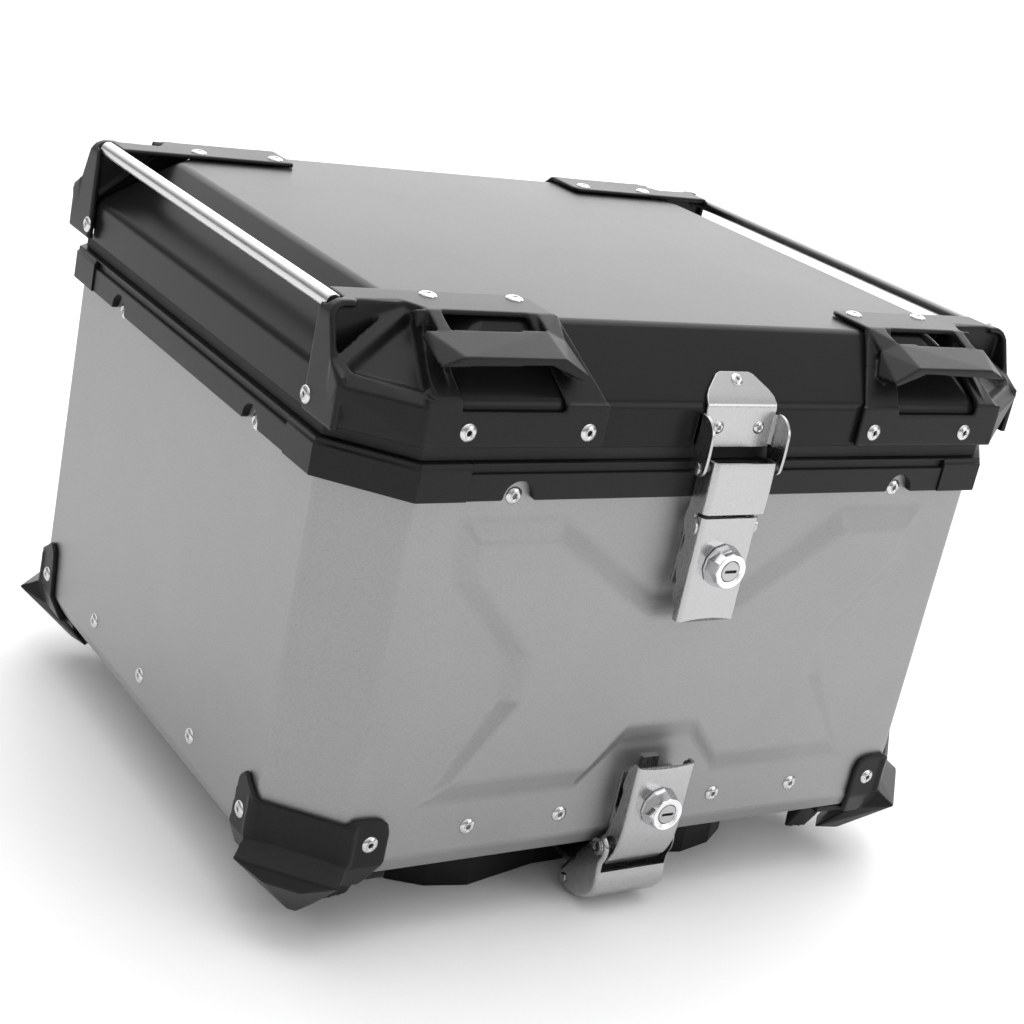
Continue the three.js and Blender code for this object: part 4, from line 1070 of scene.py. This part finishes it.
class TOPCASE_OT_hook(bpy.types.Operator):
    """Hook of the base latch: a scoop that swings under the plate's striker"""
    bl_idname = "topcase.hook"
    bl_label = "Base hook"

    def execute(self, context):
        look = looks(context)
        out = high("bottom_hook", 0)
        py, pz = BASE_PIVOT
        hy, hz = HOOK_PIN
        belly = [
            (py - 4.4, pz - 13), (py - 5.4, pz - 19), (py - 4.8, pz - 25), (py + 0.5, pz - 31.5),
            (py + 8, pz - 35), (py + 14, pz - 36.3), (hy + 1, hz - 5.4)]
        outline = rounded(
            [(py - 1.6, pz + 7), (py - 7, pz + 2.6), (py - 6.6, pz - 4), (py - 4.4, pz - 8), *belly,
            (hy + 5.2, hz - 2), (hy + 5.4, hz + 3), (hy - 6, pz - 10), (py + 7.5, pz - 1)], 2.6, 5)
        obj = raw_object("bottom_hook_scoop", prism(outline, "x", -out, out))
        bend_edges(obj, "bends", 2.4, 4, 60)
        bake(obj)
        inside = []
        for i, (y, z) in enumerate(belly):
            before, after = Vector(belly[max(i - 1, 0)]), Vector(belly[min(i + 1, len(belly) - 1)])
            along = (after - before).normalized()
            inside.append((y - along.y * 1.7, z + along.x * 1.7))
        mouth = [(py - 20, pz + 20), (py - 20, inside[0][1])] + inside + [
            (hy + 20, inside[-1][1]), (hy + 20, pz + 20)]
        carve(obj, [prism(mouth, "x", 1.8 - out, out - 1.8), rod("x", -30, 30, (0, hy, hz), 5.6, 0.1)],
              "DIFFERENCE")
        soften_edges(obj, 0.3, 50)
        settle(obj, "hook", "stainless", look, ["bottom_hook"])
        span = high("bottom_hook_pin", 0)
        pin = rod("x", -span, span, (0, hy, hz), 5, 0.6)
        piece("bottom_hook_axle", pin, "hook", "steel_pin", look, ["bottom_hook_pin"], edge=0)
        return {"FINISHED"}


class TOPCASE_OT_base(bpy.types.Operator):
    """Hinges, tray, mounting plate and its fittings, kept from the frame"""
    bl_idname = "topcase.base"
    bl_label = "Hinges, tray and plate"

    def execute(self, context):
        look = looks(context)
        sides = ("left", "right")
        dress([f"hinge_{part}_leaf_{side}" for part in ("body", "lid") for side in sides],
              look["black_sheet"], 0.4)
        dress([f"hinge_pin_{side}" for side in sides], look["steel_pin"], 0.3)
        dress(["base_tray", "mount_plate"], look["black_plastic"], 1.0)
        dress([f"plate_bridge_{side}" for side in sides] + ["plate_striker"], look["stainless"], 0.4)
        dress([f"plate_bolt_{number}" for number in range(1, 5)], look["steel_pin"], 0.5)
        return {"FINISHED"}


# ---- stage ----

def area_light(name, place, size, power):
    """Soft lamp that faces the middle of the case."""
    data = bpy.data.lights.new(name, "AREA")
    data.shape = "RECTANGLE"
    data.size, data.size_y = size
    data.energy = power
    obj = placed(name, data)
    obj.location = place
    obj.rotation_euler = (Vector((0, 0, 0.16)) - Vector(place)).to_track_quat("-Z", "Y").to_euler()


class TOPCASE_OT_stage(bpy.types.Operator):
    """Pale floor, soft studio light, and the camera"""
    bl_idname = "topcase.stage"
    bl_label = "Stage, light and camera"

    def execute(self, context):
        scene = context.scene
        far = 9e4
        floor = raw_object(
            "stage_floor", Shape([(x * far, y * far, -0.5) for x, y in ((-1, -1), (1, -1), (1, 1), (-1, 1))],
            [(0, 1, 2, 3)]))
        floor.data.materials.append(finish("stage_white", (0.9, 0.9, 0.9), 0.0, 0.8, 0.02, 0.005, 30, 0.0))

        camera = placed("camera", bpy.data.cameras.new("camera"))
        heading, tilt, roll = (math.radians(a) for a in (36.263, 19.571, 12.19))
        turn = (Matrix.Rotation(-heading, 4, "Z") @ Matrix.Rotation(math.pi / 2 - tilt, 4, "X")
                @ Matrix.Rotation(roll, 4, "Z"))
        camera.matrix_world = Matrix.Translation((-0.59584, -0.82811, 0.51115)) @ turn
        camera.data.lens = 67.6
        camera.data.sensor_width = 36
        scene.camera = camera

        world = bpy.data.worlds.new("studio")
        scene.world = world
        world.use_nodes = True
        tree = world.node_tree
        sight = node(tree, "ShaderNodeTexCoord").outputs["Generated"]
        lobes = []
        for way, start, end, amount in (
                ((math.sin(heading), math.cos(heading), 0.3), 0.5, 0.98, 2.6), ((0, 0, 1), 0.1, 1.0, 1.5)):
            facing = node(tree, "ShaderNodeVectorMath", {0: sight, 1: Vector(way).normalized()},
                          operation="DOT_PRODUCT").outputs["Value"]
            lobes.append(ranged(tree, facing, start, end, 0.06, amount))
        strength = node(tree, "ShaderNodeMath", dict(enumerate(lobes)), operation="ADD").outputs["Value"]
        background = tree.nodes["Background"]
        background.inputs["Color"].default_value = (1, 1, 1, 1)
        tree.links.new(strength, background.inputs["Strength"])

        area_light("key_overhead", (0.2, -0.2, 1.9), (1.6, 1.2), 7)
        area_light("front_right", (1.3, -1.9, 0.9), (1.2, 0.9), 8)
        area_light("left_fill", (-1.9, -0.2, 0.8), (1.0, 0.9), 1)
        scene.view_settings.view_transform = "Standard"
        return {"FINISHED"}


class TOPCASE_PT_panel(bpy.types.Panel):
    """Lists the building steps and the settings"""
    bl_idname = "TOPCASE_PT_panel"
    bl_label = "Motorcycle Top Case"
    bl_space_type = "VIEW_3D"
    bl_region_type = "UI"
    bl_category = "Top Case"

    def draw(self, context):
        for group in (context.scene.top_case_sizes, context.scene.top_case_colours):
            for name in group.bl_rna.properties.keys():
                if name not in ("rna_type", "name"):
                    self.layout.prop(group, name)
        for step in STEPS:
            self.layout.operator(step.bl_idname)


STEPS = (
    TOPCASE_OT_stage, TOPCASE_OT_body, TOPCASE_OT_lid, TOPCASE_OT_rails, TOPCASE_OT_rim, TOPCASE_OT_brackets,
    TOPCASE_OT_feet, TOPCASE_OT_rivets, TOPCASE_OT_keeper, TOPCASE_OT_sleeve, TOPCASE_OT_top_lever,
    TOPCASE_OT_bottom_lever, TOPCASE_OT_hook, TOPCASE_OT_base)
CLASSES = (TopCaseSizes, TopCaseColours, *STEPS, TOPCASE_PT_panel)


def register():
    for cls in CLASSES:
        bpy.utils.register_class(cls)
    bpy.types.Scene.top_case_sizes = bpy.props.PointerProperty(type=TopCaseSizes)
    bpy.types.Scene.top_case_colours = bpy.props.PointerProperty(type=TopCaseColours)


def unregister():
    del bpy.types.Scene.top_case_colours
    del bpy.types.Scene.top_case_sizes
    for cls in reversed(CLASSES):
        bpy.utils.unregister_class(cls)


def main():
    register()
    for step in STEPS:
        group, name = step.bl_idname.split(".")
        getattr(getattr(bpy.ops, group), name)()


if __name__ == "__main__":
    main()
